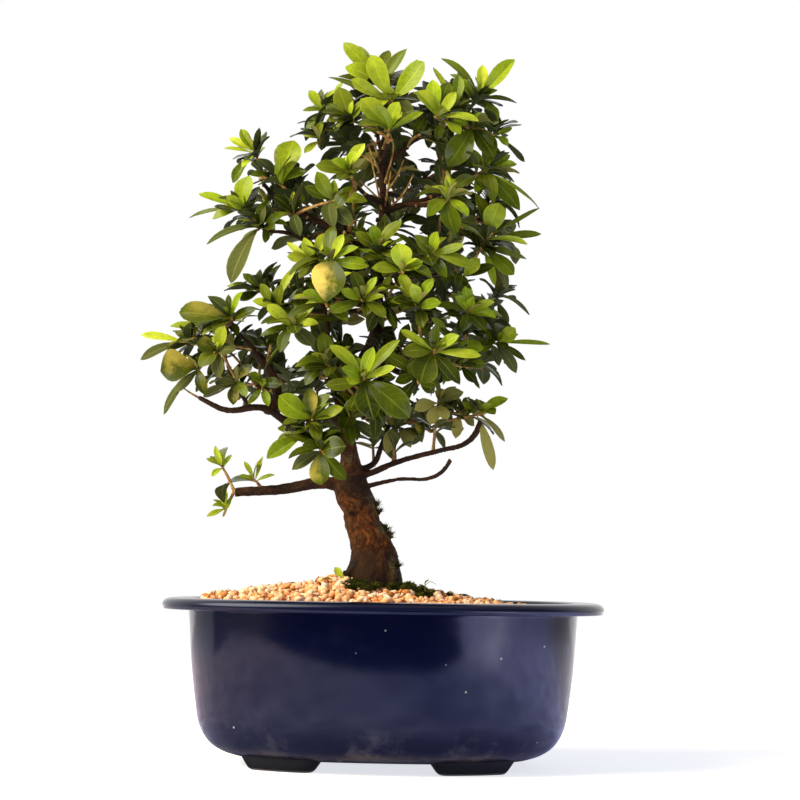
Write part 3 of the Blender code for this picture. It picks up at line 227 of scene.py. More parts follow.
# Leafy sprays that the front view shows: for each rosette its centre, then its leaves as the tip's
# place from that centre, the width, and the tone: y young, m mature, d old and painted darker as
# painted shade, o seen from below, p patched.
FRONT_SPRAYS = {
    "crown_peak": (
        ((-6, -4, 392), (
            (-22, -2, 24, 9, "y"), (-15, 6, 24, 7, "m"), (14, 4, 22, 9, "m"),
            (-20, -8, 8, 11, "y"), (-24, -10, 2, 7, "m"), (3, 10, 23, 8, "m"))),
        ((1, -18, 378), (
            (-12, -4, 26, 12, "y"), (18, -5, 22, 14, "y"), (14, 8, 27, 6, "y"),
            (-23, -6, 11, 8, "y"), (13, -10, -13, 9, "o"), (-37, 4, 16, 5, "m"))),
    ),
    "crown_front": (
        ((1, -42, 355), (
            (-15, -6, 17, 13, "y"), (6, -10, 14, 9, "y"), (19, -4, 10, 5, "y"), (-6, -16, 10, 8, "y"))),
        ((-23, -22, 366), (
            (-6, -4, 18, 12, "m"), (10, -10, 10, 8, "m"), (-12, -8, -2, 8, "m"))),
    ),
    "crown_left": (
        ((-40, 0, 376), (
            (-8, -3, 12, 6, "y"), (6, -4, 12, 6, "y"), (-10, -4, -12, 5, "m"), (-11, -6, 0, 4, "m"))),
        ((-41, -6, 357), (
            (-8, -8, -8, 5, "y"), (2, -8, 10, 6, "m"), (-11, 4, 7, 5, "m"))),
    ),
    "light_left": (
        ((-21, -48, 330), (
            (9, -6, 15, 7, "y"), (-8, -10, 5, 7, "y"), (-17, -6, 3, 9, "m"), (5, -14, 9, 6, "y"))),
    ),
    "crown_right": (
        ((27, -25, 367), (
            (-11, -4, 14, 10, "y"), (-2, -3, 21, 9, "y"), (11, -6, 13, 7, "y"), (-8, 6, 23, 9, "m"),
            (7, 8, 23, 9, "m"), (24, -8, -4, 7, "y"))),
        ((36, -12, 375), (
            (3, 4, 21, 7, "y"), (-24, 8, 15, 5, "m"), (10, 6, 7, 5, "m"), (-12, 10, 27, 4, "y"))),
    ),
    "top_right": (
        ((51, 0, 385), (
            (-22, 0, 24, 6, "m"), (2, -4, 18, 7, "y"), (20, -3, 22, 10, "y"), (-17, 6, 16, 4, "m"),
            (22, 6, -1, 4, "m"), (10, -8, -10, 4, "m"))),
    ),
    "right_hang": (
        ((48, -16, 363), (
            (-14, -8, -23, 15, "d"), (12, -6, -18, 13, "d"), (9, 4, 5, 7, "m"), (-11, -4, 4, 7, "y"))),
        ((61, 4, 363), (
            (9, 0, 5, 5, "y"), (7, -4, -6, 5, "y"))),
    ),
    "right_mid_top": (
        ((61, 8, 345), (
            (1, 0, 12, 5, "y"), (8, -3, 7, 5, "y"), (12, 2, 3, 5, "y"), (11, -5, -3, 5, "y"))),
        ((54, -14, 337), (
            (21, -3, -21, 12, "m"), (33, 6, -18, 3, "m"), (-7, -10, -11, 7, "m"),
            (6, -12, -19, 8, "m"))),
        ((34, -46, 315), (
            (5, -6, -20, 12, "m"), (-4, -10, 6, 5, "y"), (12, -10, -10, 7, "y"),
            (-10, -10, -10, 8, "m"))),
    ),
    "right_mid": (
        ((58, -18, 300), (
            (5, -5, 18, 13, "y"), (-8, 3, 25, 7, "m"), (28, 4, 18, 3, "m"), (29, 0, 2, 5, "m"),
            (21, -8, -5, 5, "y"))),
        ((55, -4, 295), (
            (24, -4, -6, 7, "m"), (17, -6, -15, 10, "m"), (14, 4, -23, 6, "o"), (6, -8, -22, 5, "y"))),
    ),
    "mid_right_front": (
        ((27, -52, 284), (
            (17, -6, 4, 6, "y"), (22, -4, -7, 8, "m"), (3, -12, 10, 7, "y"), (-9, -8, 9, 7, "m"),
            (8, -10, -14, 7, "m"))),
    ),
    "upper_left_tip": (
        ((-80, 0, 353), (
            (-8, -2, 12, 6, "y"), (-15, 2, 8, 5, "y"), (-17, -4, 1, 3, "y"), (-6, -6, -11, 5, "y"),
            (-13, 2, -18, 7, "m"))),
        ((-62, -10, 330), (
            (6, -3, 26, 16, "y"), (-1, -10, 13, 6, "m"), (14, -6, 8, 7, "m"))),
    ),
    "upper_left_low": (
        ((-85, -10, 316), (
            (-25, -2, 9, 6, "y"), (4, -4, 19, 12, "y"), (-16, -6, -6, 8, "m"), (-32, 6, -3, 3, "m"),
            (-8, -10, 6, 7, "y"))),
        ((-74, -16, 304), (
            (-30, -2, -9, 6, "o"), (-16, -2, -31, 13, "o"), (4, -8, 11, 8, "o"), (-10, 6, -12, 8, "m"))),
    ),
    "upper_left_mid": (
        ((-56, -14, 313), (
            (-14, -6, -7, 6, "m"), (-9, -8, 9, 7, "m"), (6, -8, -14, 7, "o"), (6, 4, 12, 7, "m"))),
        ((-30, -34, 317), (
            (-9, -6, 15, 9, "m"), (-16, -4, 7, 7, "m"), (19, -5, -1, 8, "m"), (1, -10, -17, 9, "o"),
            (11, -8, -15, 9, "o"))),
    ),
    "trunk_front_upper": (
        ((-4, -40, 288), (
            (13, -4, 16, 7, "m"), (-12, -6, 9, 7, "m"), (-3, -10, 12, 7, "y"))),
        ((11, -62, 272), (
            (-2, -5, 15, 12, "y"), (-16, -5, 2, 7, "m"), (11, -6, 5, 7, "y"), (4, -8, -12, 7, "m"))),
    ),
    "centre_front": (
        ((19, -62, 254), (
            (9, -4, 14, 6, "y"), (-2, -10, 10, 7, "y"), (13, -4, 1, 7, "y"), (-12, -6, 2, 7, "m"),
            (4, -8, -13, 7, "m"))),
    ),
    "mid_left_top": (
        ((-42, -30, 284), (
            (9, -4, 14, 8, "y"), (-13, -5, 1, 7, "y"), (-15, 6, 11, 4, "y"), (-4, -6, 11, 7, "y"),
            (-6, -9, -12, 7, "m"))),
        ((-29, -45, 280), (
            (6, -4, 15, 6, "y"), (14, -5, 8, 6, "y"), (20, -4, -2, 9, "y"))),
        ((-31, -55, 255), (
            (5, -10, 22, 21, "p"), (-12, -6, 6, 7, "y"), (12, -8, -10, 8, "m"))),
    ),
    "centre_bright": (
        ((-11, -58, 257), (
            (-5, -5, 15, 7, "m"), (8, -5, 12, 5, "y"), (-11, -6, 5, 6, "y"), (12, -8, 1, 6, "y"),
            (-17, -2, -9, 8, "m"), (13, -8, -10, 7, "m"))),
    ),
    "mid_left_low": (
        ((-62, -30, 257), (
            (-8, -5, 12, 6, "y"), (11, -2, 22, 5, "y"), (-12, -6, 2, 7, "y"), (4, -10, 11, 7, "m"),
            (11, -8, -11, 7, "m"))),
        ((-74, -14, 268), (
            (-18, 0, 3, 5, "m"), (-8, -6, 9, 5, "y"), (-9, -8, -6, 7, "m"))),
        ((-50, -46, 242), (
            (-14, -5, 13, 7, "y"), (12, -4, 16, 6, "y"), (14, -6, 3, 6, "y"), (-18, -3, -4, 6, "m"),
            (12, -8, -10, 9, "o"), (-6, -8, -13, 7, "m"))),
    ),
    "left_pad_top": (
        ((-88, -22, 251), (
            (-29, -4, 3, 14, "p"), (-13, -4, 12, 7, "o"), (7, -8, 14, 6, "y"), (15, -8, 5, 7, "m"),
            (-9, -8, -9, 7, "m"))),
        ((-106, 0, 247), (
            (-15, 2, 13, 7, "m"), (-20, -4, 2, 7, "y"), (-11, -5, -7, 7, "m"), (5, -4, 15, 7, "m"))),
    ),
    "left_pad_end": (
        ((-115, -6, 238), (
            (-28, 3, 6, 5, "y"), (-27, -2, -9, 7, "o"), (-11, -8, -3, 6, "m"))),
        ((-107, -20, 221), (
            (-19, -10, -1, 22, "p"), (-20, 4, -24, 6, "o"), (6, -6, -14, 7, "m"),
            (-13, -2, -12, 7, "o"))),
    ),
    "left_pad_front": (
        ((-94, -36, 230), (
            (-10, -6, 5, 10, "m"), (5, -5, 14, 9, "y"), (11, -6, 1, 9, "o"), (-8, -8, -9, 9, "m"),
            (3, -6, -14, 8, "o"))),
        ((-82, -30, 213), (
            (-12, -4, -1, 8, "o"), (8, -6, 10, 7, "m"), (-2, -6, -12, 7, "m"), (6, -10, -8, 5, "y"))),
    ),
    "left_pad_back": (
        ((-75, 14, 236), (
            (-8, -5, 12, 7, "m"), (10, -5, 9, 7, "m"), (-9, -8, -7, 7, "m"), (7, -6, -14, 7, "m"))),
        ((-69, -24, 211), (
            (-7, -6, -9, 5, "y"), (4, -6, -10, 5, "y"), (11, -6, 2, 7, "m"), (-6, -10, 7, 6, "y"))),
    ),
    "centre_low": (
        ((-9, -64, 213), (
            (-18, -4, 18, 7, "y"), (19, -3, 21, 7, "y"), (5, -8, 16, 7, "y"), (17, -6, 6, 6, "y"),
            (25, -2, -20, 16, "d"), (6, -3, -22, 15, "d"), (-20, -4, -4, 8, "m"),
            (-10, -12, 8, 7, "y"))),
        ((-33, -36, 224), (
            (-16, -5, -2, 8, "m"), (-10, -5, -12, 8, "m"), (-1, -5, 17, 9, "m"),
            (10, -10, -11, 7, "m"))),
    ),
    "low_left_crown": (
        ((-39, -42, 192), (
            (-18, -3, 13, 13, "y"), (-1, -6, 17, 8, "p"), (17, -4, 7, 7, "y"), (5, -10, -12, 7, "m"),
            (10, -5, 14, 8, "m"))),
        ((-44, -34, 183), (
            (-20, -3, -12, 10, "y"), (-16, 5, -4, 8, "m"), (-6, -8, 7, 6, "m"))),
        ((-32, -50, 174), (
            (13, -6, 3, 14, "m"), (-16, -3, -10, 8, "o"), (0, -5, -18, 12, "p"), (13, -3, -15, 9, "m"),
            (-10, -8, 3, 7, "m"))),
    ),
    "trunk_side": (
        ((-19, -22, 194), (
            (16, -3, -11, 7, "o"), (-10, -8, 5, 7, "m"), (10, -8, 5, 7, "o"), (2, -9, -15, 7, "m"))),
    ),
    "right_front": (
        ((29, -60, 229), (
            (-18, -3, 11, 5, "y"), (1, -6, 14, 6, "m"), (25, -4, -2, 6, "y"), (-17, -5, -1, 9, "m"),
            (14, -5, -18, 9, "d"), (-7, -7, -18, 16, "d"), (13, -6, 8, 7, "y"))),
        ((44, -34, 223), (
            (12, -4, 2, 7, "m"), (8, -4, -9, 7, "m"), (-10, -8, -8, 7, "m"))),
    ),
    "right_upper_pad": (
        ((47, -38, 254), (
            (-2, -5, 13, 7, "y"), (-6, -9, 9, 6, "y"), (14, -4, 5, 6, "y"), (15, -5, -4, 7, "y"),
            (-3, -6, -12, 7, "m"), (-21, -2, 3, 5, "m"), (7, -8, -12, 7, "m"))),
    ),
    "right_pad_end": (
        ((64, -10, 239), (
            (9, -4, 9, 9, "y"), (29, 2, 1, 4, "y"), (15, -3, -9, 5, "m"), (10, -4, -16, 8, "o"),
            (-8, -6, 8, 7, "m"), (-11, -6, -4, 7, "m"))),
    ),
    "low_right": (
        ((30, -12, 206), (
            (14, -4, 5, 8, "o"), (-13, -5, -5, 8, "o"), (-4, -4, -13, 8, "o"), (5, -8, -11, 7, "m"))),
        ((43, -4, 200), (
            (13, -4, 6, 7, "o"), (-8, -3, -14, 7, "o"), (7, -3, -9, 6, "o"), (-9, 4, 9, 8, "m"))),
    ),
    "low_right_inner": (
        ((6, 6, 194), (
            (-6, -4, -17, 8, "o"), (8, -4, -13, 8, "o"), (-9, -6, 4, 7, "m"), (6, -4, 12, 7, "o"))),
    ),
    "low_right_end": (
        ((54, -10, 199), (
            (15, -3, 9, 7, "y"), (6, -8, 5, 5, "y"), (14, -2, -15, 4, "o"), (8, -2, -31, 7, "o"),
            (-8, 3, 10, 7, "m"), (-10, -6, 6, 5, "y"))),
    ),
    "shoot_a": (
        ((-94, -6, 168), (
            (-2, -2, 8, 5, "y"), (-8, -3, 4, 3, "y"), (-5, -3, -6, 4, "y"), (6, -4, 6, 3, "y"))),
    ),
    "shoot_b": (
        ((-75, -10, 160), (
            (-5, -2, 10, 3, "y"), (5, -2, 13, 3, "y"), (12, -3, 3, 3, "y"), (-8, -3, 2, 3, "y"))),
    ),
    "shoot_c": (
        ((-91, -8, 142), (
            (-1, -2, 14, 5, "y"), (4, -4, 7, 5, "y"), (-10, -2, -3, 4, "y"), (-6, -6, 3, 4, "y"))),
    ),
}


def loft(rings, tip=None):
    """A closed skin over rings of equal count, with flat ends, or with a point at the far end."""
    count = len(rings[0])
    vertices = [v for ring in rings for v in ring]
    faces = [tuple(reversed(range(count)))]
    for row in range(len(rings) - 1):
        for i in range(count):
            a = row * count + i
            b = row * count + (i + 1) % count
            faces.append((a, b, b + count, a + count))
    last = (len(rings) - 1) * count
    if tip is None:
        faces.append(tuple(range(last, last + count)))
    else:
        vertices.append(tip)
        faces += [(last + i, last + (i + 1) % count, len(vertices) - 1) for i in range(count)]
    return vertices, faces


def oval_point(half_length, angle):
    """A point of the pot's rounded oval; half_length is along X."""
    c = math.cos(angle)
    s = math.sin(angle)
    power = 2 / POT_ROUNDNESS
    x = half_length * math.copysign(abs(c) ** power, c)
    y = (half_length - POT_NARROWER) * math.copysign(abs(s) ** power, s)
    return x, y


def oval_y(half_length, x):
    """How far out in Y the oval lies at x."""
    rest = 1 - (abs(x) / half_length) ** POT_ROUNDNESS
    return (half_length - POT_NARROWER) * rest ** (1 / POT_ROUNDNESS)


def soil_height(x, y):
    """The height of the soil's surface: a slope, with a mound round the trunk."""
    wide = MOUND_LEFT if x < MOUND_X else MOUND_RIGHT
    mound = MOUND_HEIGHT * math.exp(-((x - MOUND_X) / wide) ** 2 - (y / MOUND_DEEP) ** 2)
    return SOIL_TOP - SOIL_SLOPE * x + mound


def tube_rings(points, radii, sides, lumps=None):
    """Rings along a bent line, each square to it, without twist."""
    rings = []
    across = None
    for i, point in enumerate(points):
        ahead = points[min(i + 1, len(points) - 1)]
        behind = points[max(i - 1, 0)]
        way = (ahead - behind).normalized()
        if across is None:
            across = way.orthogonal().normalized()
        across = (across - way * across.dot(way)).normalized()
        other = way.cross(across)
        ring = []
        for k in range(sides):
            turn = 2 * math.pi * k / sides
            radius = radii[i] * (lumps(i, turn) if lumps else 1)
            ring.append(point + across * (radius * math.cos(turn)) + other * (radius * math.sin(turn)))
        rings.append(ring)
    return rings


def bark_lumps(row, turn):
    """Old wood isn't round: slow swellings that turn as they climb, from the soil up."""
    if row < ROUND_ROWS:
        return 1
    return 1 + 0.07 * math.sin(2 * turn + 0.5 * row) + 0.05 * math.sin(3 * turn - 0.8 * row)


def trunk_shape():
    points = [Vector(row[:3]) for row in TRUNK]
    return loft(tube_rings(points, [row[3] for row in TRUNK], TRUNK_SIDES, bark_lumps))


def tube_shape(points, radii, sides):
    return loft(tube_rings(points, radii, sides))


def bough_shape(rows):
    return tube_shape([Vector(row[:3]) for row in rows], [row[3] for row in rows], BOUGH_SIDES)


def blade_shape(root, tip, width, face, extra=0):
    """A leaf: widest past its middle, arched, with thin edges and its rib standing out below."""
    along = tip - root
    length = along.length + extra
    along.normalize()
    side = along.cross(face).normalized()
    above = side.cross(along)
    half = width / 2 + extra
    vertices = [root - along * extra * 0.5]
    for share, wide, arch in BLADE_STATIONS:
        middle = root + along * length * share + above * (arch * length + extra)
        vertices += [middle - side * half * wide, middle + side * half * wide,
                     middle - above * (BLADE_THICK + 2 * extra)]
    vertices.append(root + along * length)
    faces = []
    for i in range(3):
        j = (i + 1) % 3
        faces += [(0, 1 + i, 1 + j), (1 + i, 4 + i, 1 + j), (1 + j, 4 + i, 4 + j), (4 + i, 7, 4 + j)]
    return vertices, faces


class Space:
    """What has been placed: each shape's search tree, with its middle, reach and owner."""

    def __init__(self):
        self.taken = []

    def add(self, shape, owner):
        middle, reach = self.extent(shape)
        self.taken.append((BVHTree.FromPolygons(*shape), middle, reach, owner))

    @staticmethod
    def extent(shape):
        middle = sum((Vector(v) for v in shape[0]), Vector()) / len(shape[0])
        return middle, max((Vector(v) - middle).length for v in shape[0])

    def clear(self, shape, owner=None):
        """True where shape meets nothing, leaving out what its own spray holds."""
        middle, reach = self.extent(shape)
        tree = None
        for other, spot, far, whose in self.taken:
            if whose == owner or (spot - middle).length > reach + far:
                continue
            tree = tree or BVHTree.FromPolygons(*shape)
            if tree.overlap(other):
                return False
        return True


def anchors(bough):
    """Points along a bough every few millimetres, as (point, radius, direction)."""
    found = []
    for a, b in zip(bough, bough[1:]):
        start, end = Vector(a[:3]), Vector(b[:3])
        count = max(1, round((end - start).length / ANCHOR_STEP))
        for i in range(1, count + 1):
            share = i / count
            found.append((start.lerp(end, share), a[3] + (b[3] - a[3]) * share, (end - start).normalized()))
    return found


def trunk_axis(z):
    for low, high in zip(TRUNK, TRUNK[1:]):
        if low[2] <= z <= high[2]:
            return Vector(low[:3]).lerp(Vector(high[:3]), (z - low[2]) / (high[2] - low[2]))
    return Vector(TRUNK[-1][:3])


def outward(centre):
    """The way a rosette faces: away from the trunk and up."""
    away = centre - trunk_axis(centre.z - 15)
    away.z = 0
    return (away.normalized() * OUTWARD_SHARE + UP * UPWARD_SHARE).normalized()


def bent_line(start, end, rise, sway):
    """Three points from start to end on a bent stem."""
    reach = end - start
    side = reach.cross(UP)
    side = side.normalized() if side.length > 1e-6 else Vector((1, 0, 0))
    knee = start + reach * KNEE_SHARE + UP * reach.length * rise + side * reach.length * sway
    points = []
    for share in (0, 0.45, 1):
        points.append(start.lerp(knee, share).lerp(knee.lerp(end, share), share))
    return points


def swollen_stem(line, extra):
    """A stem with a margin all round and behind its foot, for testing what it clears."""
    back = (line[0] - line[1]).normalized() * extra
    return tube_shape([line[0] + back] + line[1:], [r + extra for r in STEM_RADII], STEM_SIDES)


def seat_stem(anchor, centre, rise, sway, space, own):
    """A stem from a bough's bark to a rosette: its foot is moved out until it stands just clear."""
    point, radius, _ = anchor
    reach = centre - point
    lean = (reach * KNEE_SHARE + UP * reach.length * rise).normalized()
    for step in range(SEAT_TRIES):
        foot = point + lean * (radius * 0.6 + SEAT_STEP * step)
        line = bent_line(foot, centre, rise, sway)
        if space.clear(swollen_stem(line, SEAT_MARGIN), own):
            return line
    return None


def first_stem(name, centre, wood, space):
    """The spray's own stem, from the nearest wood that lies below it and further in."""
    middle = trunk_axis(centre.z)
    far = (centre - middle).xy.length

    def cost(anchor):
        point = anchor[0]
        above = max(0, point.z - centre.z + 2)
        beyond = max(0, (point - middle).xy.length - far)
        return (centre - point).length + ABOVE_COST * above + BEYOND_COST * beyond

    for anchor in sorted(wood, key=cost)[:ANCHOR_TRIES]:
        if (centre - anchor[0]).length < anchor[1] + SHORTEST_STEM:
            continue
        for rise, sway in BENDS:
            line = seat_stem(anchor, centre, rise, sway, space, name)
            if line:
                return line
    return None


def side_twig(name, centre, lines, space):
    """A twig to one more rosette, from inside a stem that the spray already has."""
    spots = [line[i].lerp(line[i + 1], share) for line in lines for i in (0, 1) for share in (0.3, 0.7)]
    spots.sort(key=lambda spot: (centre - spot).length + TWIG_ABOVE_COST * max(0, spot.z - centre.z))
    for spot in spots:
        for rise, sway in BENDS:
            line = bent_line(spot, centre, rise, sway)
            if space.clear(swollen_stem(line, SEAT_MARGIN), name):
                return line
    return None


def grow_stems(name, centres, wood, space):
    """The lines of a spray's stems, one for each rosette; the first is seated on the wood."""
    line = first_stem(name, centres[0], wood, space)
    if line is None:
        return []
    lines = [line]
    for centre in centres[1:]:
        twig = side_twig(name, centre, lines, space)
        if twig:
            lines.append(twig)
    for line in lines:
        space.add(tube_shape(line, STEM_RADII, STEM_SIDES), name)
    return lines


def grow_leaf(name, root, tip, width, face, space, strict):
    """Place a leaf where it clears all else, turned or shortened a little if it must be."""
    along = tip - root
    side = along.cross(face).normalized()
    for turn, lift, share in LEAF_TRIES:
        spin = Matrix.Rotation(math.radians(turn), 3, face) @ Matrix.Rotation(math.radians(lift), 3, side)
        way = spin @ along * share
        end = root + way
        normal = spin @ face
        wide = width * (0.4 + 0.6 * share)
        if not space.clear(blade_shape(root, end, wide, normal, LEAF_GAP), name):
            continue
        outer = blade_shape(root.lerp(end, 0.22), end, wide, normal)
        if strict and not space.clear(outer, None):
            continue
        blade = (root, end, wide, normal)
        space.add(blade_shape(*blade), name)
        return blade
    return None


def upper_side(along, axis):
    """The way a leaf's upper side faces: towards the rosette's axis, and up."""
    face = axis * FACE_AXIS + UP * FACE_UP
    return (face - along * (face.dot(along) / along.length_squared)).normalized()


def leaf_root(line, i):
    """Leaves sit one below another on the last of the stem, each rooted at its middle."""
    last = line[-2] - line[-1]
    return line[-1] + last.normalized() * min(FIRST_ROOT + NEXT_ROOT * i, last.length * LAST_ROOT)


def rosette_at(line, rosettes):
    """The leaves listed for the rosette that a stem ends in."""
    return rosettes[min(rosettes, key=lambda centre: (Vector(centre) - line[-1]).length)]


def splayed(axis, turn, degrees):
    """A way that leans off a rosette's axis by some degrees, turned round the axis."""
    spread = math.radians(degrees)
    across = Matrix.Rotation(turn, 3, axis) @ axis.orthogonal().normalized()
    return axis * math.cos(spread) + across * math.sin(spread)


def grow_tree(fill_to, space):
    """Every spray as {name: (stem lines, leaves)}, where a leaf is (root, tip, width, upper side)."""
    space.add(trunk_shape(), "wood")
    wood = [a for a in anchors(TRUNK) if a[0].z > LOWEST_LEAFY_TRUNK]
    for name, rows in BOUGHS.items():
        space.add(bough_shape(rows), "wood")
        if name != BARE_BOUGH:
            wood += anchors(rows)
    sprays = dict(FRONT_SPRAYS)
    sprays.update({name: [(centre, ()) for centre in centres] for name, centres in BACK_SPRAYS.items()})
    stems = {}
    for name, rosettes in sprays.items():
        stems[name] = grow_stems(name, [Vector(centre) for centre, _ in rosettes], wood, space)
    leaves = {name: [] for name in sprays}
    shown = [(name, line, rosette_at(line, dict(sprays[name]))) for name in sprays for line in stems[name]]
    for name, line, seen in shown:
        facing = outward(line[-1]) * FACE_OUT + TO_VIEWER
        for i, (dx, dy, dz, width, tone) in enumerate(seen):
            root = leaf_root(line, i)
            tip = line[-1] + Vector((dx, dy, dz))
            face = upper_side(tip - root, facing)
            blade = grow_leaf(name, root, tip, width, face, space, True)
            blade = blade or grow_leaf(name, root, tip, width, face, space, False)
            if blade:
                leaves[name].append((blade, tone))
    draw = random.Random(LEAF_SEED)
    first, step, loose = FILL_SPREAD
    for name, line, seen in shown:
        axis = outward(line[-1])
        start = draw.uniform(0, 2 * math.pi)
        for i in range(fill_to - len(seen)):
            way = splayed(axis, start + GOLDEN_ANGLE * i, first + step * i + draw.uniform(-loose, loose))
            way *= draw.uniform(*FILL_LENGTH)
            root = leaf_root(line, len(seen) + i)
            width = draw.uniform(*FILL_WIDTH)
            blade = grow_leaf(name, root, root + way, width, upper_side(way, axis), space, True)
            if blade:
                leaves[name].append((blade, "m"))
    return {name: (stems[name], leaves[name]) for name in sprays}


def here(point):
    """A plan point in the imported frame, in metres."""
    return ORIGIN + Vector(point) * MM


def colour(hex_colour):
    """An sRGB hex colour as the linear colour that a shader takes."""
    shares = [int(hex_colour[i:i + 2], 16) / 255 for i in (0, 2, 4)]
    return (*[s / 12.92 if s <= 0.04045 else ((s + 0.055) / 1.055) ** 2.4 for s in shares], 1)


# What a node does, in one word: Blender's type for it, and the setting that makes it do so.
KINDS = {
    "times": ("Math", {"operation": "MULTIPLY"}),
    "plus": ("Math", {"operation": "ADD"}),
    "minus": ("Math", {"operation": "SUBTRACT"}),
    "larger": ("Math", {"operation": "MAXIMUM"}),
    "size": ("Math", {"operation": "ABSOLUTE"}),
    "sign": ("Math", {"operation": "SIGN"}),
    "to_and_fro": ("Math", {"operation": "PINGPONG"}),
    "reach": ("VectorMath", {"operation": "LENGTH"}),
    "toward": ("VectorMath", {"operation": "DOT_PRODUCT"}),
    "blend": ("Mix", {"data_type": "RGBA"}),
    "slope": ("MapRange", {"interpolation_type": "SMOOTHSTEP"}),
    "shades": ("ValToRGB", {}),
}


def connect(node, inputs):
    """Link a node's inputs to the outputs that they are given, or set them; a colour is an sRGB hex."""
    for name, value in inputs.items():
        if isinstance(value, bpy.types.NodeSocket):
            node.id_data.links.new(value, node.inputs[name])
        else:
            node.inputs[name].default_value = colour(value) if isinstance(value, str) else value


def add_node(tree, kind, *values, give=None, stops=(), **named):
    """Add a node and return one of its outputs: the first that it shows, or the one that give names.

    The values go to the inputs that it shows, in order. A name is that of an input or of a setting.
    """
    kind, settings = KINDS.get(kind, (kind, {}))
    node = tree.nodes.new("ShaderNode" + kind)
    for name, value in {**settings, **named}.items():
        if name not in node.inputs:
            setattr(node, name, value)
    shown = [i for i, socket in enumerate(node.inputs) if socket.enabled]
    connect(node, dict(zip(shown, values)))
    connect(node, {name: value for name, value in named.items() if name in node.inputs})
    if stops:
        ramp = node.color_ramp.elements
        while len(ramp) < len(stops):
            ramp.new(0.5)
        for element, (position, shade) in zip(ramp, stops):
            element.position = position
            element.color = colour(shade)
    return node.outputs[give] if give else next(socket for socket in node.outputs if socket.enabled)


def start_material(name):
    """A new material, its Principled shader and the function that adds a node to it."""
    material = bpy.data.materials.new(name)
    material.use_nodes = True
    tree = material.node_tree
    return material, tree.nodes["Principled BSDF"], partial(add_node, tree)


def azalea_leaf():
    """Satsuki azalea leaf: a waxy upper skin over green tissue, matt and hairy below.

    To the eye: old leaves are dark with a cool gloss, young ones yellow-green and duller; the rib,
    side veins and edge are lighter, and the underside is a dull olive.
    """
    material, shader, add = start_material("azalea_leaf")
    place = add("Attribute", give="Vector", attribute_name="leaf_place")
    age = add("Attribute", give="Vector", attribute_name="leaf_age")
    across, along, chance = add("SeparateXYZ", place).node.outputs
    young, patched, under = add("SeparateXYZ", age).node.outputs
    spot = add("TexCoord", give="Object")
    from_rib = add("size", across)
    rib = add("slope", from_rib, 0.0, 0.11, 1.0, 0.0)
    # Side veins leave the rib every 2.5 mm or so and run forward to the edge.
    run = add("minus", add("times", along, 8.0), add("times", from_rib, 1.7))
    vein = add("slope", add("to_and_fro", run, 0.5), 0.0, 0.2, 1.0, 0.0)
    edge = add("slope", from_rib, 0.80, 1.0)
    # Mottling of the green, 3 mm across, and broad shading over the leaf, 12 mm across.
    mottle = add("TexNoise", spot, 330.0, 3.0)
    broad = add("TexNoise", spot, 85.0, 1.0)
    old_green = add("blend", chance, "1B2306", "4E5A12")
    new_green = add("blend", chance, "88AA16", "BBD03A")
    green = add("blend", young, old_green, new_green)
    paler = add("plus", add("times", young, 0.38), 0.12)
    green = add("blend", add("times", add("slope", broad, 0.35, 0.65), paler), green, "7A9418")
    green = add("blend", add("times", add("slope", mottle, 0.4, 0.7), 0.22), green, "2A3A08")
    lines = add("larger", add("times", rib, 0.4), add("times", vein, 0.07))
    lines = add("larger", lines, add("times", edge, 0.26))
    upper = add("blend", lines, green, add("blend", young, "7C9432", "CFDC5A"))
    # A dying leaf turns gold in blotches on one half of the blade, which the sign of its share names,
    # while the rest is a dull olive. On some leaves the pale gold is a painted sheen instead.
    half = add("times", across, add("sign", patched))
    ragged = add("TexNoise", spot, 190.0, 4.0, 0.65)
    turned = add("slope", add("plus", half, add("times", ragged, 2.2)), 0.5, 1.9)
    band = add("times", add("slope", along, 0.02, 0.3), add("slope", along, 1.0, 0.72))
    gold = add("size", patched)
    upper = add("blend", add("times", gold, 0.75), upper, "384214")
    yellow = add("blend", chance, "CFC458", "C8B864")
    upper = add("blend", add("times", add("times", gold, turned), band), upper, yellow)
    lower = add("blend", lines, add("blend", young, "38451F", "9C9A50"), "8E9058")
    skin = add("blend", under, upper, lower)
    rough = add("larger", add("blend", young, "606060", "969696"), add("times", under, 0.72))
    height = add("plus", add("times", add("plus", rib, vein), -0.5), add("times", mottle, 0.6))
    bump = add("Bump", Height=height, Strength=0.3, Distance=0.00012)
    connect(shader, {"Base Color": skin, "Roughness": rough, "Normal": bump, "IOR": 1.45,
                     "Specular IOR Level": 0.24})
    return material


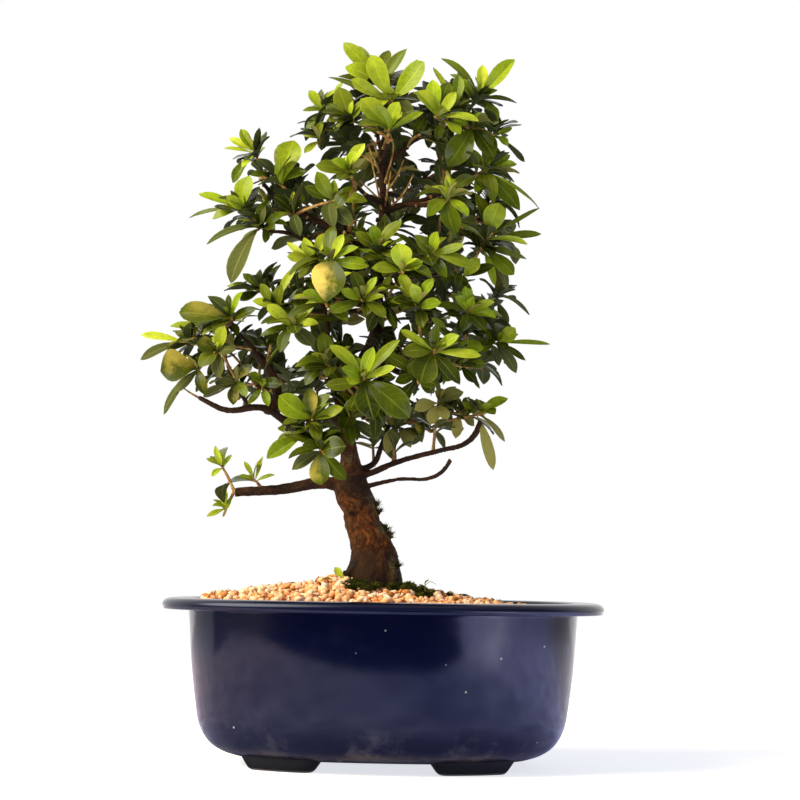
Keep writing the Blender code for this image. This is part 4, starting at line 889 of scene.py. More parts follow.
def azalea_bark():
    """Azalea bark: thin grey-brown flakes over red-brown young bark, with lichen and dark hollows.

    To the eye: matt, streaked along the wood, reddish where flakes have dropped.
    """
    material, shader, add = start_material("azalea_bark")
    spot = add("TexCoord", give="Object")
    marks = add("Attribute", give="Vector", attribute_name="bark_marks")
    hollow, lichen, cut = add("SeparateXYZ", marks).node.outputs
    # The grain runs along each branch: flakes are 3 to 6 mm wide and three times as long.
    stretched = add("Attribute", give="Vector", attribute_name="grain")
    flakes = add("TexVoronoi", stretched, 240.0)
    streaks = add("TexNoise", stretched, 520.0, 8.0, 0.6)
    broad = add("TexNoise", spot, 60.0, 3.0)
    skins = ((0.28, "1B0C04"), (0.45, "43250C"), (0.6, "734218"), (0.8, "9C6830"))
    skin = add("shades", streaks, stops=skins)
    skin = add("blend", add("slope", broad, 0.35, 0.7, 0.0, 0.55), skin, "54402A")
    # Dark weathered blotches, 8 mm across, and the damp foot of the trunk.
    blotches = add("TexNoise", spot, 125.0, 4.0, 0.6)
    skin = add("blend", add("slope", blotches, 0.52, 0.7, 0.0, 0.72), skin, "1D0F07")
    height = add("SeparateXYZ", spot, give="Z")
    damp = add("plus", height, add("times", blotches, 0.03))
    skin = add("blend", add("slope", damp, 0.132, 0.112, 0.0, 0.58), skin, "211A12")
    # Boughs in the shade of the crown are painted darker: partly their dark weathered skin, partly painted
    # shade.
    thin = add("Attribute", give="Fac", attribute_name="thin_wood")
    skin = add("blend", add("times", thin, 0.8), skin, "20170F")
    skin = add("blend", add("times", lichen, add("slope", streaks, 0.35, 0.65, 0.3, 0.8)), skin, "5A563A")
    # Crusts of pale lichen, 1 mm across, sit where it has spread.
    crust = add("slope", add("TexNoise", spot, 900.0, 2.0), 0.58, 0.66)
    skin = add("blend", add("times", add("times", lichen, crust), 0.7), skin, "A39A78")
    # Hollows are painted nearly black: painted shade in them.
    skin = add("blend", add("times", hollow, 0.9), skin, "150C08")
    skin = add("blend", cut, skin, "C9A777")
    bump = add("Bump", Height=add("plus", streaks, add("times", flakes, 0.6)), Strength=1.0, Distance=0.0017)
    connect(shader, {"Base Color": skin, "Roughness": 0.82, "Normal": bump, "Specular IOR Level": 0.3})
    return material


def young_twig():
    """This year's azalea shoots: thin smooth bark, green-brown to tan, with fine hairs.

    To the eye: paler and smoother than the old wood.
    """
    material, shader, add = start_material("young_twig")
    grain = add("TexNoise", add("TexCoord", give="Object"), 300.0, 4.0)
    skin = add("shades", grain, stops=((0.3, "553418"), (0.5, "8C6A38"), (0.72, "B5A45C")))
    bump = add("Bump", Height=grain, Strength=0.5, Distance=0.0003)
    connect(shader, {"Base Color": skin, "Roughness": 0.7, "Normal": bump})
    return material


def kanuma_granules():
    """Sieved volcanic soil granules, fired hard by the sun: porous, dusty and without gloss.

    To the eye: peach and cream lumps of 3 to 5 mm, each a little different, darker in their pores.
    """
    material, shader, add = start_material("kanuma_granules")
    # The granule attribute is each granule's own tone, with painted shade on its lower side.
    shade = add("Attribute", give="Fac", attribute_name="granule")
    skins = ((0.0, "6E3408"), (0.18, "DD9A5E"), (0.48, "F8CA9E"), (0.85, "FFEFDF"))
    base = add("shades", shade, stops=skins)
    # Pores are 0.3 mm across, drawn at 0.5 mm so that they show.
    pores = add("TexNoise", add("TexCoord", give="Object"), 1900.0, 4.0)
    skin = add("blend", add("slope", pores, 0.5, 0.3, 0.0, 0.55), base, "9C5A2A")
    bump = add("Bump", Height=pores, Strength=0.6, Distance=0.0004)
    connect(shader, {"Base Color": skin, "Roughness": 0.95, "Normal": bump, "Specular IOR Level": 0.2})
    return material


def navy_polypropylene():
    """Injection-moulded polypropylene, navy, with a polished mould's gloss.

    To the eye: deep navy under a clear sheen, with a faint waviness of the moulding, dry water marks
    and dust low on the wall, and a few white specks.
    """
    material, shader, add = start_material("navy_polypropylene")
    spot = add("TexCoord", give="Object")
    height_mm = add("times", add("SeparateXYZ", spot, give="Z"), 1000.0)
    low = add("slope", height_mm, 42.0, 8.0)
    # Dust lies in blotches 20 mm across, broken up at 2 mm.
    blotches = add("TexNoise", spot, 50.0, 8.0, 0.7)
    dust = add("times", add("slope", blotches, 0.5, 0.75), add("plus", add("times", low, 0.2), 0.02))
    # Scratches and wiped streaks run round the pot, 1 mm high and 25 mm long.
    streaks = add("TexNoise", add("Mapping", spot, Scale=(1.0, 1.0, 22.0)), 40.0, 5.0)
    wiped = add("times", add("slope", streaks, 0.56, 0.8), 0.03)
    # Specks of lime, under 1 mm, one in each 14 mm or so.
    speck = add("slope", add("TexVoronoi", spot, 70.0), 0.055, 0.03)
    # The feet stand in dirt: they are dull, and painted nearly black, partly their dirt and partly painted
    # shade under the pot.
    foot = add("slope", height_mm, 9.0, 6.5)
    base = add("blend", low, "030828", "070A26")
    base = add("blend", add("larger", dust, wiped), base, "6E6F7C")
    base = add("blend", foot, base, "090A0D")
    # Silt has dried in the crease over the feet.
    crease = add("slope", add("size", add("minus", height_mm, 9.5)), 3.5, 0.5)
    silt = add("times", crease, add("slope", blotches, 0.42, 0.62, 0.1, 0.55))
    base = add("blend", silt, base, "453C33")
    base = add("blend", add("times", speck, 0.55), base, "B9BCC4")
    worn = add("larger", add("times", add("plus", dust, wiped), 0.5), add("times", foot, 0.4))
    waves = add("TexNoise", spot, 45.0, 2.0)
    bump = add("Bump", Height=waves, Strength=0.12, Distance=0.001)
    connect(shader, {"Base Color": base, "Roughness": add("plus", worn, 0.12), "Normal": bump, "IOR": 1.49,
                     "Specular IOR Level": 0.5})
    return material


def black_polyethylene():
    """Extruded polyethylene net, black: a dull plastic with soil dust on it."""
    material, shader, add = start_material("black_polyethylene")
    dust = add("slope", add("TexNoise", add("TexCoord", give="Object"), 160.0, 4.0), 0.45, 0.75, 0.0, 0.5)
    connect(shader, {"Base Color": add("blend", dust, "1A1B1D", "8B6A48"), "Roughness": 0.6})
    return material


def moss_leaves(name, shades):
    """Moss: tiny matt leaves that trap light, so it is dark, and paler where they are dry."""
    material, shader, add = start_material(name)
    patches = add("TexNoise", add("TexCoord", give="Object"), 260.0, 3.0)
    skin = add("shades", patches, stops=tuple(zip((0.3, 0.5, 0.68, 0.85), shades)))
    connect(shader, {"Base Color": skin, "Roughness": 0.95, "Specular IOR Level": 0.2})
    return material


def new_object(name, vertices, faces, materials, smooth=True):
    """One piece from plan points in millimetres, with its finishes."""
    mesh = bpy.data.meshes.new(name)
    points = np.asarray(vertices, float) * MM + np.array(ORIGIN)
    mesh.from_pydata(points.tolist(), [], faces)
    mesh.validate()
    for material in materials:
        mesh.materials.append(material)
    if smooth:
        mesh.shade_smooth()
    piece = bpy.data.objects.new(name, mesh)
    bpy.context.scene.collection.objects.link(piece)
    return piece


def dress(piece, slot, *nodes):
    """Attach the piece to what it rides on, and hide the solids that it stands for. Its slot is not used."""
    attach(piece, "root")
    if nodes:
        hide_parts(*nodes)


def add_attribute(piece, name, values, domain="POINT"):
    """Give each point or face of a piece a number, or three of them."""
    values = np.asarray(values, float)
    kind, field = ("FLOAT_VECTOR", "vector") if values.ndim == 2 else ("FLOAT", "value")
    piece.data.attributes.new(name, kind, domain).data.foreach_set(field, values.ravel())


def finish_modifiers(piece):
    """Replace a piece's mesh by what its modifiers make of it."""
    view = bpy.context.evaluated_depsgraph_get()
    done = bpy.data.meshes.new_from_object(piece.evaluated_get(view))
    piece.modifiers.clear()
    piece.data = done


def smooth_line(points, step):
    """A curve through the points, as points about a step apart, each with its share of the way."""
    ends = [points[0] * 2 - points[1]] + list(points) + [points[-1] * 2 - points[-2]]
    line = []
    for i in range(1, len(ends) - 2):
        a, b, c, d = ends[i - 1:i + 3]
        count = max(2, round((c - b).length / step))
        for k in range(count):
            t = k / count
            spot = (b * 2 + (c - a) * t + (a * 2 - b * 5 + c * 4 - d) * t * t
                    + (b * 3 - a - c * 3 + d) * t * t * t) / 2
            line.append((spot, i - 1 + t))
    line.append((points[-1], len(points) - 1))
    return line


def tapered(radii, share):
    low = min(int(share), len(radii) - 2)
    return radii[low] + (radii[low + 1] - radii[low]) * (share - low)


def turns(count):
    """The angles of a full turn in equal steps."""
    return [2 * math.pi * i / count for i in range(count)]


def any_way(draw):
    return Vector((draw.gauss(0, 1), draw.gauss(0, 1), draw.gauss(0, 1)))


def joined(shapes):
    """Several (vertices, faces) as one."""
    vertices = []
    faces = []
    for points, loops in shapes:
        base = len(vertices)
        vertices += [tuple(p) for p in points]
        faces += [tuple(base + i for i in loop) for loop in loops]
    return vertices, faces


# A fine leaf: stations along it, columns across it, and its folds, as shares of its size.
LEAF_OUTLINE = ((0, 0.09), (0.09, 0.13), (0.2, 0.32), (0.33, 0.58), (0.46, 0.81), (0.59, 0.95), (0.71, 1.0),
                (0.82, 0.92), (0.91, 0.70), (0.97, 0.38))
LEAF_ROWS = np.array([share for share, _ in LEAF_OUTLINE])
LEAF_SWELL = np.array([wide for _, wide in LEAF_OUTLINE])
# A narrower leaf, widest at its middle, that every leaf tends to in its own measure.
LANCE_SWELL = np.array((0.09, 0.2, 0.48, 0.76, 0.94, 1.0, 0.92, 0.71, 0.44, 0.2))
LEAF_COLUMNS = np.array((-1, -0.55, 0, 0.55, 1))
LEAF_THICK = 0.42
LEAF_SHARP = math.radians(50)
# The least and most of a leaf's fold, arch, curled edges, hooked tip, twist, bend to one side and waves,
# and where the waves begin. A young leaf is more folded and less arched. Then how far each leaf tends to
# the narrow one.
OLD_BENDS = ((0.06, 0.42), (0.05, 0.19), (-0.05, 0.2), (-0.02, 0.14), (-0.6, 0.6), (-0.06, 0.06), (0, 0.09),
             (0, 6.28))
YOUNG_BENDS = ((0.16, 0.58), (0.03, 0.12), *OLD_BENDS[2:])
OLD_LANCE, YOUNG_LANCE = (0.1, 0.9), (0, 0.45)


def fine_leaf(root, tip, width, face, tone, draw):
    """One leaf on the plan's chord, with its own small bends: its points, and each one's column and row."""
    chord = np.array(tip - root)
    length = np.linalg.norm(chord)
    along = chord / length
    side = np.cross(along, np.array(face))
    side /= np.linalg.norm(side)
    above = np.cross(side, along)
    young = tone == "y"
    bends = [draw.uniform(*span) for span in (YOUNG_BENDS if young else OLD_BENDS)]
    fold, arch, curl, hook, twist, bend, wave, phase = bends
    lance = 0 if tone == "p" else draw.uniform(*(YOUNG_LANCE if young else OLD_LANCE))
    s = LEAF_ROWS[:, None]
    c = LEAF_COLUMNS[None, :]
    half = width / 2 * (LEAF_SWELL + (LANCE_SWELL - LEAF_SWELL) * lance)[:, None]
    turn = twist * (s - 0.3)
    x = c * half
    lift = np.abs(c) * half * fold - np.abs(c) ** 3 * half * curl
    lift = lift + wave * half * np.sin(phase + 9 * s) * c * np.abs(c)
    across = x * np.cos(turn) - lift * np.sin(turn) + bend * length * np.sin(np.pi * s)
    height = x * np.sin(turn) + lift * np.cos(turn)
    height = height + length * (arch * np.sin(np.pi * s ** 0.8) - hook * np.maximum(0, s - 0.75) ** 2 * 6)
    start = np.array(root)
    top = start + s[..., None] * length * along + across[..., None] * side + height[..., None] * above
    under = top[:, 1:4] - above * LEAF_THICK * np.array((0.75, 1.35, 0.75))[None, :, None]
    end = start + chord - above * length * hook * 0.375
    end = end + along * 0.5
    points = np.concatenate((top.reshape(-1, 3), under.reshape(-1, 3), end[None]))
    place = [(col, row) for row in LEAF_ROWS for col in LEAF_COLUMNS]
    place += [(col, row) for row in LEAF_ROWS for col in LEAF_COLUMNS[1:4]]
    return points, place + [(0, 1)]


def leaf_faces():
    """The faces of every fine leaf: the upper skin, then the lower, sharing the edge's points."""
    rows = len(LEAF_ROWS)
    tip = rows * 8
    upper = [[row * 5 + i for i in range(5)] for row in range(rows)]
    lower = [[row * 5] + [rows * 5 + row * 3 + i for i in range(3)] + [row * 5 + 4] for row in range(rows)]
    faces = []
    for skin, turned in ((upper, 1), (lower, -1)):
        loops = [(a[i], a[i + 1], b[i + 1], b[i]) for a, b in zip(skin, skin[1:]) for i in range(4)]
        loops += [(skin[-1][i], skin[-1][i + 1], tip) for i in range(4)]
        faces += [loop[::turned] for loop in loops]
    faces.append(tuple(upper[0][::-1]) + tuple(lower[0][1:4]))
    return faces


LEAF_FACES = leaf_faces()
UPPER_FACES = (len(LEAF_FACES) - 1) // 2

# A shoot: how deep its foot is in the wood, its radii at the foot, the knee and the end, and its bud as the
# way out and the radius there.
SHOOT_DEEP = 3.0
SHOOT_RADII = (1.05, 0.8, 0.72)
BUD = ((1.0, 0.85), (2.2, 0.75), (3.4, 0.25))


def stem_shape(line):
    """A thin knotty shoot on the plan's line, from inside the wood to a bud at its rosette."""
    back = (line[0] - line[1]).normalized()
    ahead = (line[-1] - line[-2]).normalized()
    spots = smooth_line([line[0] + back * SHOOT_DEEP] + list(line[1:]), 3.0)
    points = [spot for spot, _ in spots] + [line[-1] + ahead * out for out, _ in BUD]
    radii = [tapered(SHOOT_RADII, min(share, 2)) for _, share in spots] + [radius for _, radius in BUD]
    knots = [1 + 0.09 * math.sin(2.1 * i) for i in range(len(radii))]
    return tube_shape(points, [r * k for r, k in zip(radii, knots)], 7)


# Sprays whose boughs show between the leaves.
BARE_SPRAYS = ("left_pad_back", "left_pad_front")
# How much gold the dying leaf on each spray has, and by its sign on which half of the blade. On
# low_left_crown the pale gold is a painted sheen.
GOLD_AND_SHEEN_SHARE = {"left_pad_top": 0.32, "left_pad_end": 0.62, "mid_left_top": -1.0, "low_left_crown": 0.45}
# Sprays that hang over the viewer, who sees the dull undersides of their old leaves; these are painted
# paler than their own olive, as painted light in the crown's shade.
PALE_BELOW = ("low_right", "low_right_inner", "low_right_end")
# Sprays whose old leaves are weathered, and more or less gold.
WEATHERED = (*PALE_BELOW, "left_pad_front", "left_pad_end")
# Shoots high on the tree, in full sun, are yellower: heights, and the least and most youth of a new leaf.
SUN_HEIGHTS = (200, 290, 330)
YOUTH_LOW, YOUTH_HIGH = (0.3, 0.42, 0.55), (0.78, 0.95, 1.0)
MATURE_YOUTH = (0.0, 0.06, 0.14, 0.28)
# Below this height the old leaves stand in the shade of the crown and are darker.
LOW_SHADE = 262
# Small leaves, as how many to a rosette, then the least and most of degrees off its axis, of length and of
# width: new ones at each tip, old ones below it, and those on the shoots inside the crown. The last are
# along the stem, which they stand out from in their own way.
TIP_LEAVES = (5, (12, 48), (7, 14), (3.2, 5.4))
LOW_LEAVES = (9, (35, 105), (13, 22), (6.5, 10.0))
INNER_LEAVES = (7, (35, 100), (12, 22), (6.0, 9.5))
STEM_LEAVES = (3, (10, 17), (5.0, 8.0))
SPARSE_TIP = 2
# How the random draws of each sort of piece begin; a spray's own are FIRST_SPRAY_SEED and its number.
SMALL_LEAF_SEED, INNER_SEED, CROWN_SEED, FIRST_SPRAY_SEED = 29, 17, 99, 100
GRANULE_SEED, MOSS_SEED, STRAY_SEED = 41, 7, 3


def more_leaves(sprays, space):
    """The small leaves that the solids leave out: new ones at each tip, and old ones below and inside."""
    draw = random.Random(SMALL_LEAF_SEED)
    added = {name: [] for name in sprays}

    def grow(name, root, way, widths, face_axis, tone):
        width = draw.uniform(*widths)
        if tone == "d" and open_inside(root + way * 0.5):
            return
        blade = grow_leaf(name, root, root + way, width, upper_side(way, face_axis), space, True)
        if blade:
            added[name].append((blade, tone))

    for name, (lines, leaves) in sprays.items():
        front = name in FRONT_SPRAYS
        fresh = sum(tone == "y" for _, tone in leaves) / max(1, len(leaves))
        sparse = name.startswith("shoot") or name in BARE_SPRAYS
        for line in lines:
            axis = (outward(line[-1]) * 0.55 + UP * 0.75).normalized()
            facing = axis + TO_VIEWER * (0.5 if front else 0)
            start = draw.uniform(0, 2 * math.pi)
            count, spreads, lengths, widths = TIP_LEAVES
            for i in range(SPARSE_TIP if sparse else count):
                way = splayed(axis, start + GOLDEN_ANGLE * i, draw.uniform(*spreads)) * draw.uniform(*lengths)
                tone = "y" if draw.random() < 0.3 + 0.7 * fresh else "m"
                grow(name, leaf_root(line, 0), way, widths, facing, tone)
            if sparse:
                continue
            count, spreads, lengths, widths = LOW_LEAVES
            for i in range(count):
                turn = start + 0.7 + GOLDEN_ANGLE * i
                way = splayed(axis, turn, draw.uniform(*spreads)) * draw.uniform(*lengths)
                tone = "y" if draw.random() < 0.5 * fresh else "d"
                grow(name, leaf_root(line, draw.uniform(4, 14)), way, widths, facing, tone)
            count, lengths, widths = STEM_LEAVES
            for i in range(count):
                root = line[0].lerp(line[1], draw.uniform(0.25, 0.9))
                run = (line[1] - line[0]).normalized()
                spin = Matrix.Rotation(start + GOLDEN_ANGLE * i, 3, run)
                way = (run * 0.55 + (spin @ run.orthogonal().normalized())) * draw.uniform(*lengths)
                grow(name, root, way, widths, UP, "d")
    return added


# Where pruning keeps the pads of leaves apart: x, z and half width of each gap, open from front to back.
GAPS = ((-17, 249, 5.5), (-56, 297, 6.4), (-80, 281, 3.7), (-42, 322, 3.2), (53, 273, 3.7), (69, 259, 4.1),
        (47, 218, 3.7), (35, 221, 2.8), (-11, 191, 3.7), (-15, 178, 2.8), (-92, 211, 3.7), (-85, 198, 3.2),
        (-78, 262, 3.2), (-52, 270, 2.8), (28, 197, 3.2), (45, 192, 3.7), (64, 182, 3.7), (-54, 376, 3.7),
        (-54, 354, 3.7), (-44, 352, 2.3), (-35, 326, 2.3), (-10, 316, 2.3), (70, 360, 2.3), (76, 284, 3.7),
        (74, 220, 3.7), (-61, 166, 5.5), (-72, 189, 4.6), (-95, 195, 3.7), (25, 176, 2.8), (8, 330, 2.3))
GAP_DEEP = 75


def keep_gaps(space):
    for x, z, half in GAPS:
        line = [Vector((x, -GAP_DEEP, z)), Vector((x, GAP_DEEP, z))]
        space.add(tube_shape(line, (half, half), 8), "gap")


# The bare places in the crown, where the wood shows: least and most x, least and most z, and least depth.
OPEN_PLACES = ((-20, 26, 312, 356, -5), (-66, -26, 300, 334, -12), (-82, -54, 206, 240, -14))


def open_inside(spot):
    """Whether a place is in front of one of the bare places in the crown."""
    return any(left < spot.x < right and low < spot.z < high and spot.y < depth
               for left, right, low, high, depth in OPEN_PLACES)


# Boughs that carry short leafy shoots inside the crown, and the share of each where they begin and end.
LEAFY_WOOD = (("trunk", 0, 0.98), ("upper_left", 0.1, 0.8), ("upper_left_inner", 0.1, 1),
              ("upper_right", 0.1, 1), ("crown_right", 0.1, 1), ("right_mid", 0.15, 1), ("right_arm", 0.2, 1),
              ("inner_left", 0.15, 1), ("front_low", 0.2, 1), ("front_right", 0.1, 1), ("front_mid", 0.2, 1),
              ("front_mid_left", 0.1, 1), ("front_high", 0.2, 1), ("front_upper_left", 0.1, 1),
              ("front_crown", 0.1, 1), ("front_upper_right", 0.1, 1), ("right_riser", 0.3, 1),
              ("old_stub", 0.2, 0.9), ("stub_shoot", 0.1, 1), ("left_pad_riser", 0.1, 1),
              ("back_left", 0.3, 1), ("back_right", 0.2, 1), ("back_mid_left", 0.2, 1),
              ("back_mid_right", 0.2, 1),
              ("back_upper_left", 0.2, 1), ("back_upper", 0.2, 1), ("back_upper_right", 0.1, 1),
              ("back_crown", 0.1, 1), ("back_low", 0.3, 1))
LOWEST_SHOOT = 205


def inner_shoots(space):
    """Short shoots straight from the boughs, each with a few old leaves: (lines, leaves)."""
    draw = random.Random(INNER_SEED)
    lines, leaves = [], []
    for name, first, last in LEAFY_WOOD:
        spots = anchors(TRUNK if name == "trunk" else BOUGHS[name])
        if name == "trunk":
            spots = [spot for spot in spots if spot[0].z > LOWEST_SHOOT]
        spots = spots[int(first * len(spots)):int(last * len(spots)) + 1]
        for i, (point, radius, way) in enumerate(spots[::2]):
            owner = f"inner_{name}_{i}"
            side = way.orthogonal().normalized()
            spin = Matrix.Rotation(GOLDEN_ANGLE * i + draw.uniform(-0.5, 0.5), 3, way)
            lean = ((spin @ side) + way * 0.35 + UP * 0.45).normalized()
            reach = draw.uniform(9, 17)
            foot = point + lean * radius * 0.6
            line = bent_line(foot, foot + lean * reach, 0.1, draw.uniform(-0.2, 0.2))
            outer = tube_shape([line[0].lerp(line[1], 0.9)] + line[1:], (0.8, 0.8, 0.8), 4)
            if open_inside(line[-1]) or not space.clear(outer, "wood"):
                continue
            space.add(tube_shape(line, (1, 0.9, 0.8), STEM_SIDES), owner)
            lines.append(line)
            axis = (lean + UP * 0.4).normalized()
            count, spreads, lengths, widths = INNER_LEAVES
            for k in range(count):
                out = splayed(axis, GOLDEN_ANGLE * k + i, draw.uniform(*spreads)) * draw.uniform(*lengths)
                root = leaf_root(line, draw.uniform(0, 12))
                width = draw.uniform(*widths)
                blade = grow_leaf(owner, root, root + out, width, upper_side(out, axis), space, True)
                if blade and not open_inside(root + out * 0.5):
                    leaves.append((blade, "y" if draw.random() < 0.08 else "d"))
    return lines, leaves


def leafy_piece(name, wood, leaves, skins, draw, marks):
    """A piece of shoots and fine leaves; marks() gives each leaf its chance, youth, gold and side seen."""
    vertices, faces = joined(wood)
    kinds = [1] * len(faces)
    places = [(0, 0, 0)] * len(vertices)
    ages = [(0, 0, 0)] * len(faces)
    for blade, tone in leaves:
        points, place = fine_leaf(*blade, tone, draw)
        base = len(vertices)
        vertices += points.tolist()
        faces += [tuple(base + i for i in loop) for loop in LEAF_FACES]
        kinds += [0] * len(LEAF_FACES)
        chance, young, gold, below = marks(blade[0], tone)
        places += [(col, row, chance) for col, row in place]
        ages += [(young, gold, 1 if i >= UPPER_FACES else below) for i in range(len(LEAF_FACES))]
    piece = new_object(name, vertices, faces, skins)
    piece.data.polygons.foreach_set("material_index", kinds)
    add_attribute(piece, "leaf_place", places)
    add_attribute(piece, "leaf_age", ages, "FACE")
    piece.data.set_sharp_from_angle(angle=LEAF_SHARP)
    return piece


def make_foliage(name, lines, leaves, skins, slot, seed, *nodes):
    """A spray: its shoots, and every leaf that grows on them."""
    draw = random.Random(seed)

    def marks(root, tone):
        # A leaf of tone d is painted darker: painted shade.
        chance = draw.random() * (0.7 if tone == "d" else 1)
        fresh = draw.uniform(*[np.interp(root.z, SUN_HEIGHTS, youth) for youth in (YOUTH_LOW, YOUTH_HIGH)])
        dull = draw.uniform(0.0, 0.1)
        mature = draw.choice(MATURE_YOUTH) * (1 if root.z > LOW_SHADE else 0.3)
        young = {"y": fresh, "p": 0.05, "o": dull, "d": 0, "m": mature}[tone]
        worn = draw.uniform(-0.6, 0.6)
        gold = worn if name in WEATHERED and tone in "mod" else 0
        if tone == "p":
            gold = GOLD_AND_SHEEN_SHARE[name]
        # Their undersides are painted paler: painted light.
        if name in PALE_BELOW and tone in "mo":
            return chance, 0.5 + worn / 2, gold, 1
        return chance, young, gold, int(tone == "o")

    wood = [stem_shape(line) for line in lines]
    dress(leafy_piece(f"{name}_leaves", wood, leaves, skins, draw, marks), slot, *nodes)


# Marks on the old wood, at plan points: the place and the reach of each.
HOLLOWS = (((-18, -11, 141), 3.2), ((-15, -15, 117), 3.5), ((-2, -14, 126), 3.0), ((-4, -2, 249), 5.5),
           ((2, -6, 140), 4.0), ((-3, -12, 104), 6.0), ((-24, -6, 158), 4.0), ((8, -8, 108), 5.0),
           ((-17, -9, 112), 5.5), ((4, -12, 119), 4.0))
LICHENS = (((-3, -8, 150), 7), ((0, -8, 134), 6), ((6, -8, 112), 9), ((2, -8, 142), 7), ((-20, -4, 172), 5),
           ((-6, 12, 126), 14), ((-20, 10, 150), 9), ((-9, 0, 240), 7))
FRESH_CUTS = (((-86, -8, 153), 2.2),)
ROOT_SPURS = (
    ((-14, -8, 113, 2.8), (-18, -10, 109, 2.3), (-21, -11, 107, 1.8), (-22.5, -11.5, 109.5, 0.8)),
    ((-8, 11, 113, 4.5), (-11, 17, 107, 3.6), (-14, 22, 101, 2.8), (-15, 25, 97, 2.0)),
    ((-14, 4, 112, 4.0), (-22, 8, 106, 3.2), (-27, 10, 101, 2.4)),
    ((4, -8, 110, 4.2), (6, -12, 104, 3.4), (7, -14, 99, 2.6)),
)
# The step of the wood's mesh, the radius from which a branch is thick, and how often its shade is spread.
WOOD_VOXEL = 0.69
THICK_WOOD = 5
SHADE_SPREADS = 60


def wood_tube(rows):
    """A branch on a smooth line through its plan rows: (shape, its points with their radii)."""
    spots = smooth_line([Vector(row[:3]) for row in rows], 2.0)
    points = [spot for spot, _ in spots]
    radii = [tapered([row[3] for row in rows], share) for _, share in spots]
    return tube_shape(points, radii, 28 if rows[0][3] > THICK_WOOD else 14), list(zip(points, radii))


def grown_together(shapes):
    """Branches grown into one skin, in plan millimetres: its points, their normals and its faces."""
    vertices, faces = joined(shapes)
    mesh = bpy.data.meshes.new("wood_tubes")
    mesh.from_pydata(vertices, [], faces)
    tubes = bpy.data.objects.new("wood_tubes", mesh)
    bpy.context.scene.collection.objects.link(tubes)
    remesh = tubes.modifiers.new("grown", "REMESH")
    remesh.mode = "VOXEL"
    remesh.voxel_size = WOOD_VOXEL
    relax = tubes.modifiers.new("relax", "CORRECTIVE_SMOOTH")
    relax.iterations = 6
    relax.use_only_smooth = True
    finish_modifiers(tubes)
    wood = tubes.data
    spots, normals = np.empty(len(wood.vertices) * 3), np.empty(len(wood.vertices) * 3)
    wood.vertices.foreach_get("co", spots)
    wood.vertex_normals.foreach_get("vector", normals)
    faces = [tuple(p.vertices) for p in wood.polygons]
    bpy.data.objects.remove(tubes)
    return spots.reshape(-1, 3), normals.reshape(-1, 3), faces


def place_on_wood(spots, tracks):
    """How thick the nearest branch is at each point, and the point in the run of that branch's grain."""
    centres, ways, radii, runs = [], [], [], []
    for track in tracks:
        run = 0
        for i, (point, radius) in enumerate(track):
            ahead = track[min(i + 1, len(track) - 1)][0]
            behind = track[max(i - 1, 0)][0]
            run += (point - behind).length if i else 0
            centres.append(point)
            ways.append((ahead - behind).normalized())
            radii.append(radius)
            runs.append(run)
    finder = kdtree.KDTree(len(centres))
    for i, centre in enumerate(centres):
        finder.insert(centre, i)
    finder.balance()
    nearest = np.array([finder.find(Vector(p))[1] for p in spots])
    ways = np.array(ways)[nearest]
    offset = spots - np.array(centres)[nearest]
    climb = np.einsum("ij,ij->i", offset, ways)
    ring = offset - climb[:, None] * ways
    return np.array(radii)[nearest], ring + ways * ((np.array(runs)[nearest] + climb) * 0.3)[:, None]


def weather(spot, normal, radius, grain):
    """How far the bark stands out at a point, and its marks: hollow, lichen and fresh cut.

    Flutes are 10 mm across, fissures 3 mm, flakes 1 mm and crumbs 0.4 mm; the first two fade on thin wood.
    """
    flute = noise.noise(grain * 0.10 + Vector((7, 0, 0)))
    fissure = min(0.16, abs(noise.noise(grain * 0.34)))
    flake = noise.noise(grain * 0.95 + Vector((0, 9, 0)))
    crumb = noise.noise(grain * 2.4)
    scale = min(1, radius / 9)
    relief = (flute * 1.5 * scale * scale - (0.16 - fissure) * 4.2 * scale + flake * (0.12 + 0.38 * scale)
              + crumb * 0.12)
    hollow = lichen = 0
    for centre, reach in HOLLOWS:
        near = max(0, 1 - (spot - Vector(centre)).length / reach + 0.35 * flake)
        hollow = max(hollow, min(1, near * 1.8))
        relief -= min(1, near) * 1.3 * min(1, radius / 8)
    for centre, reach in LICHENS:
        near = 1 - (spot - Vector(centre)).length / reach + 0.6 * flute + 0.5 * flake
        lichen = max(lichen, min(1, near * 1.6))
    cut = any((spot - Vector(centre)).length < reach and normal[0] < -0.75 for centre, reach in FRESH_CUTS)
    return relief, (hollow, lichen, cut)


def thin_share(radii, faces):
    """How thin the wood is at each point, spread over a few millimetres where boughs leave thick wood."""
    thin = np.clip((6.2 - radii) / 3, 0, 1)
    ends = np.array([(a, b) for loop in faces for a, b in zip(loop, loop[1:])]).T
    links = np.maximum(1, np.bincount(ends.ravel(), minlength=len(radii)))
    for _ in range(SHADE_SPREADS):
        around = [np.bincount(ends[i], thin[ends[1 - i]], len(radii)) for i in (0, 1)]
        thin = (thin + (around[0] + around[1]) / links) / 2
    return thin


def make_wood(bark):
    """Trunk, roots and boughs grown together, with fluting, flaking bark and old scars cut in."""
    shapes, tracks = zip(*[wood_tube(rows) for rows in (TRUNK, *BOUGHS.values(), *ROOT_SPURS)])
    spots, normals, faces = grown_together(shapes)
    radii, grain = place_on_wood(spots, tracks)
    rows = zip(spots, normals, radii, grain)
    worn = [weather(Vector(spot), normal, radius, Vector(g)) for spot, normal, radius, g in rows]
    spots = spots + normals * np.array([relief for relief, _ in worn])[:, None]
    surface = BVHTree.FromPolygons([Vector(p) for p in spots], faces)
    piece = new_object("tree_wood", spots, faces, [bark])
    add_attribute(piece, "bark_marks", [marks for _, marks in worn])
    add_attribute(piece, "grain", grain * MM)
    add_attribute(piece, "thin_wood", thin_share(radii, faces))
    dress(piece, "bark", "trunk_and_boughs")
    return surface


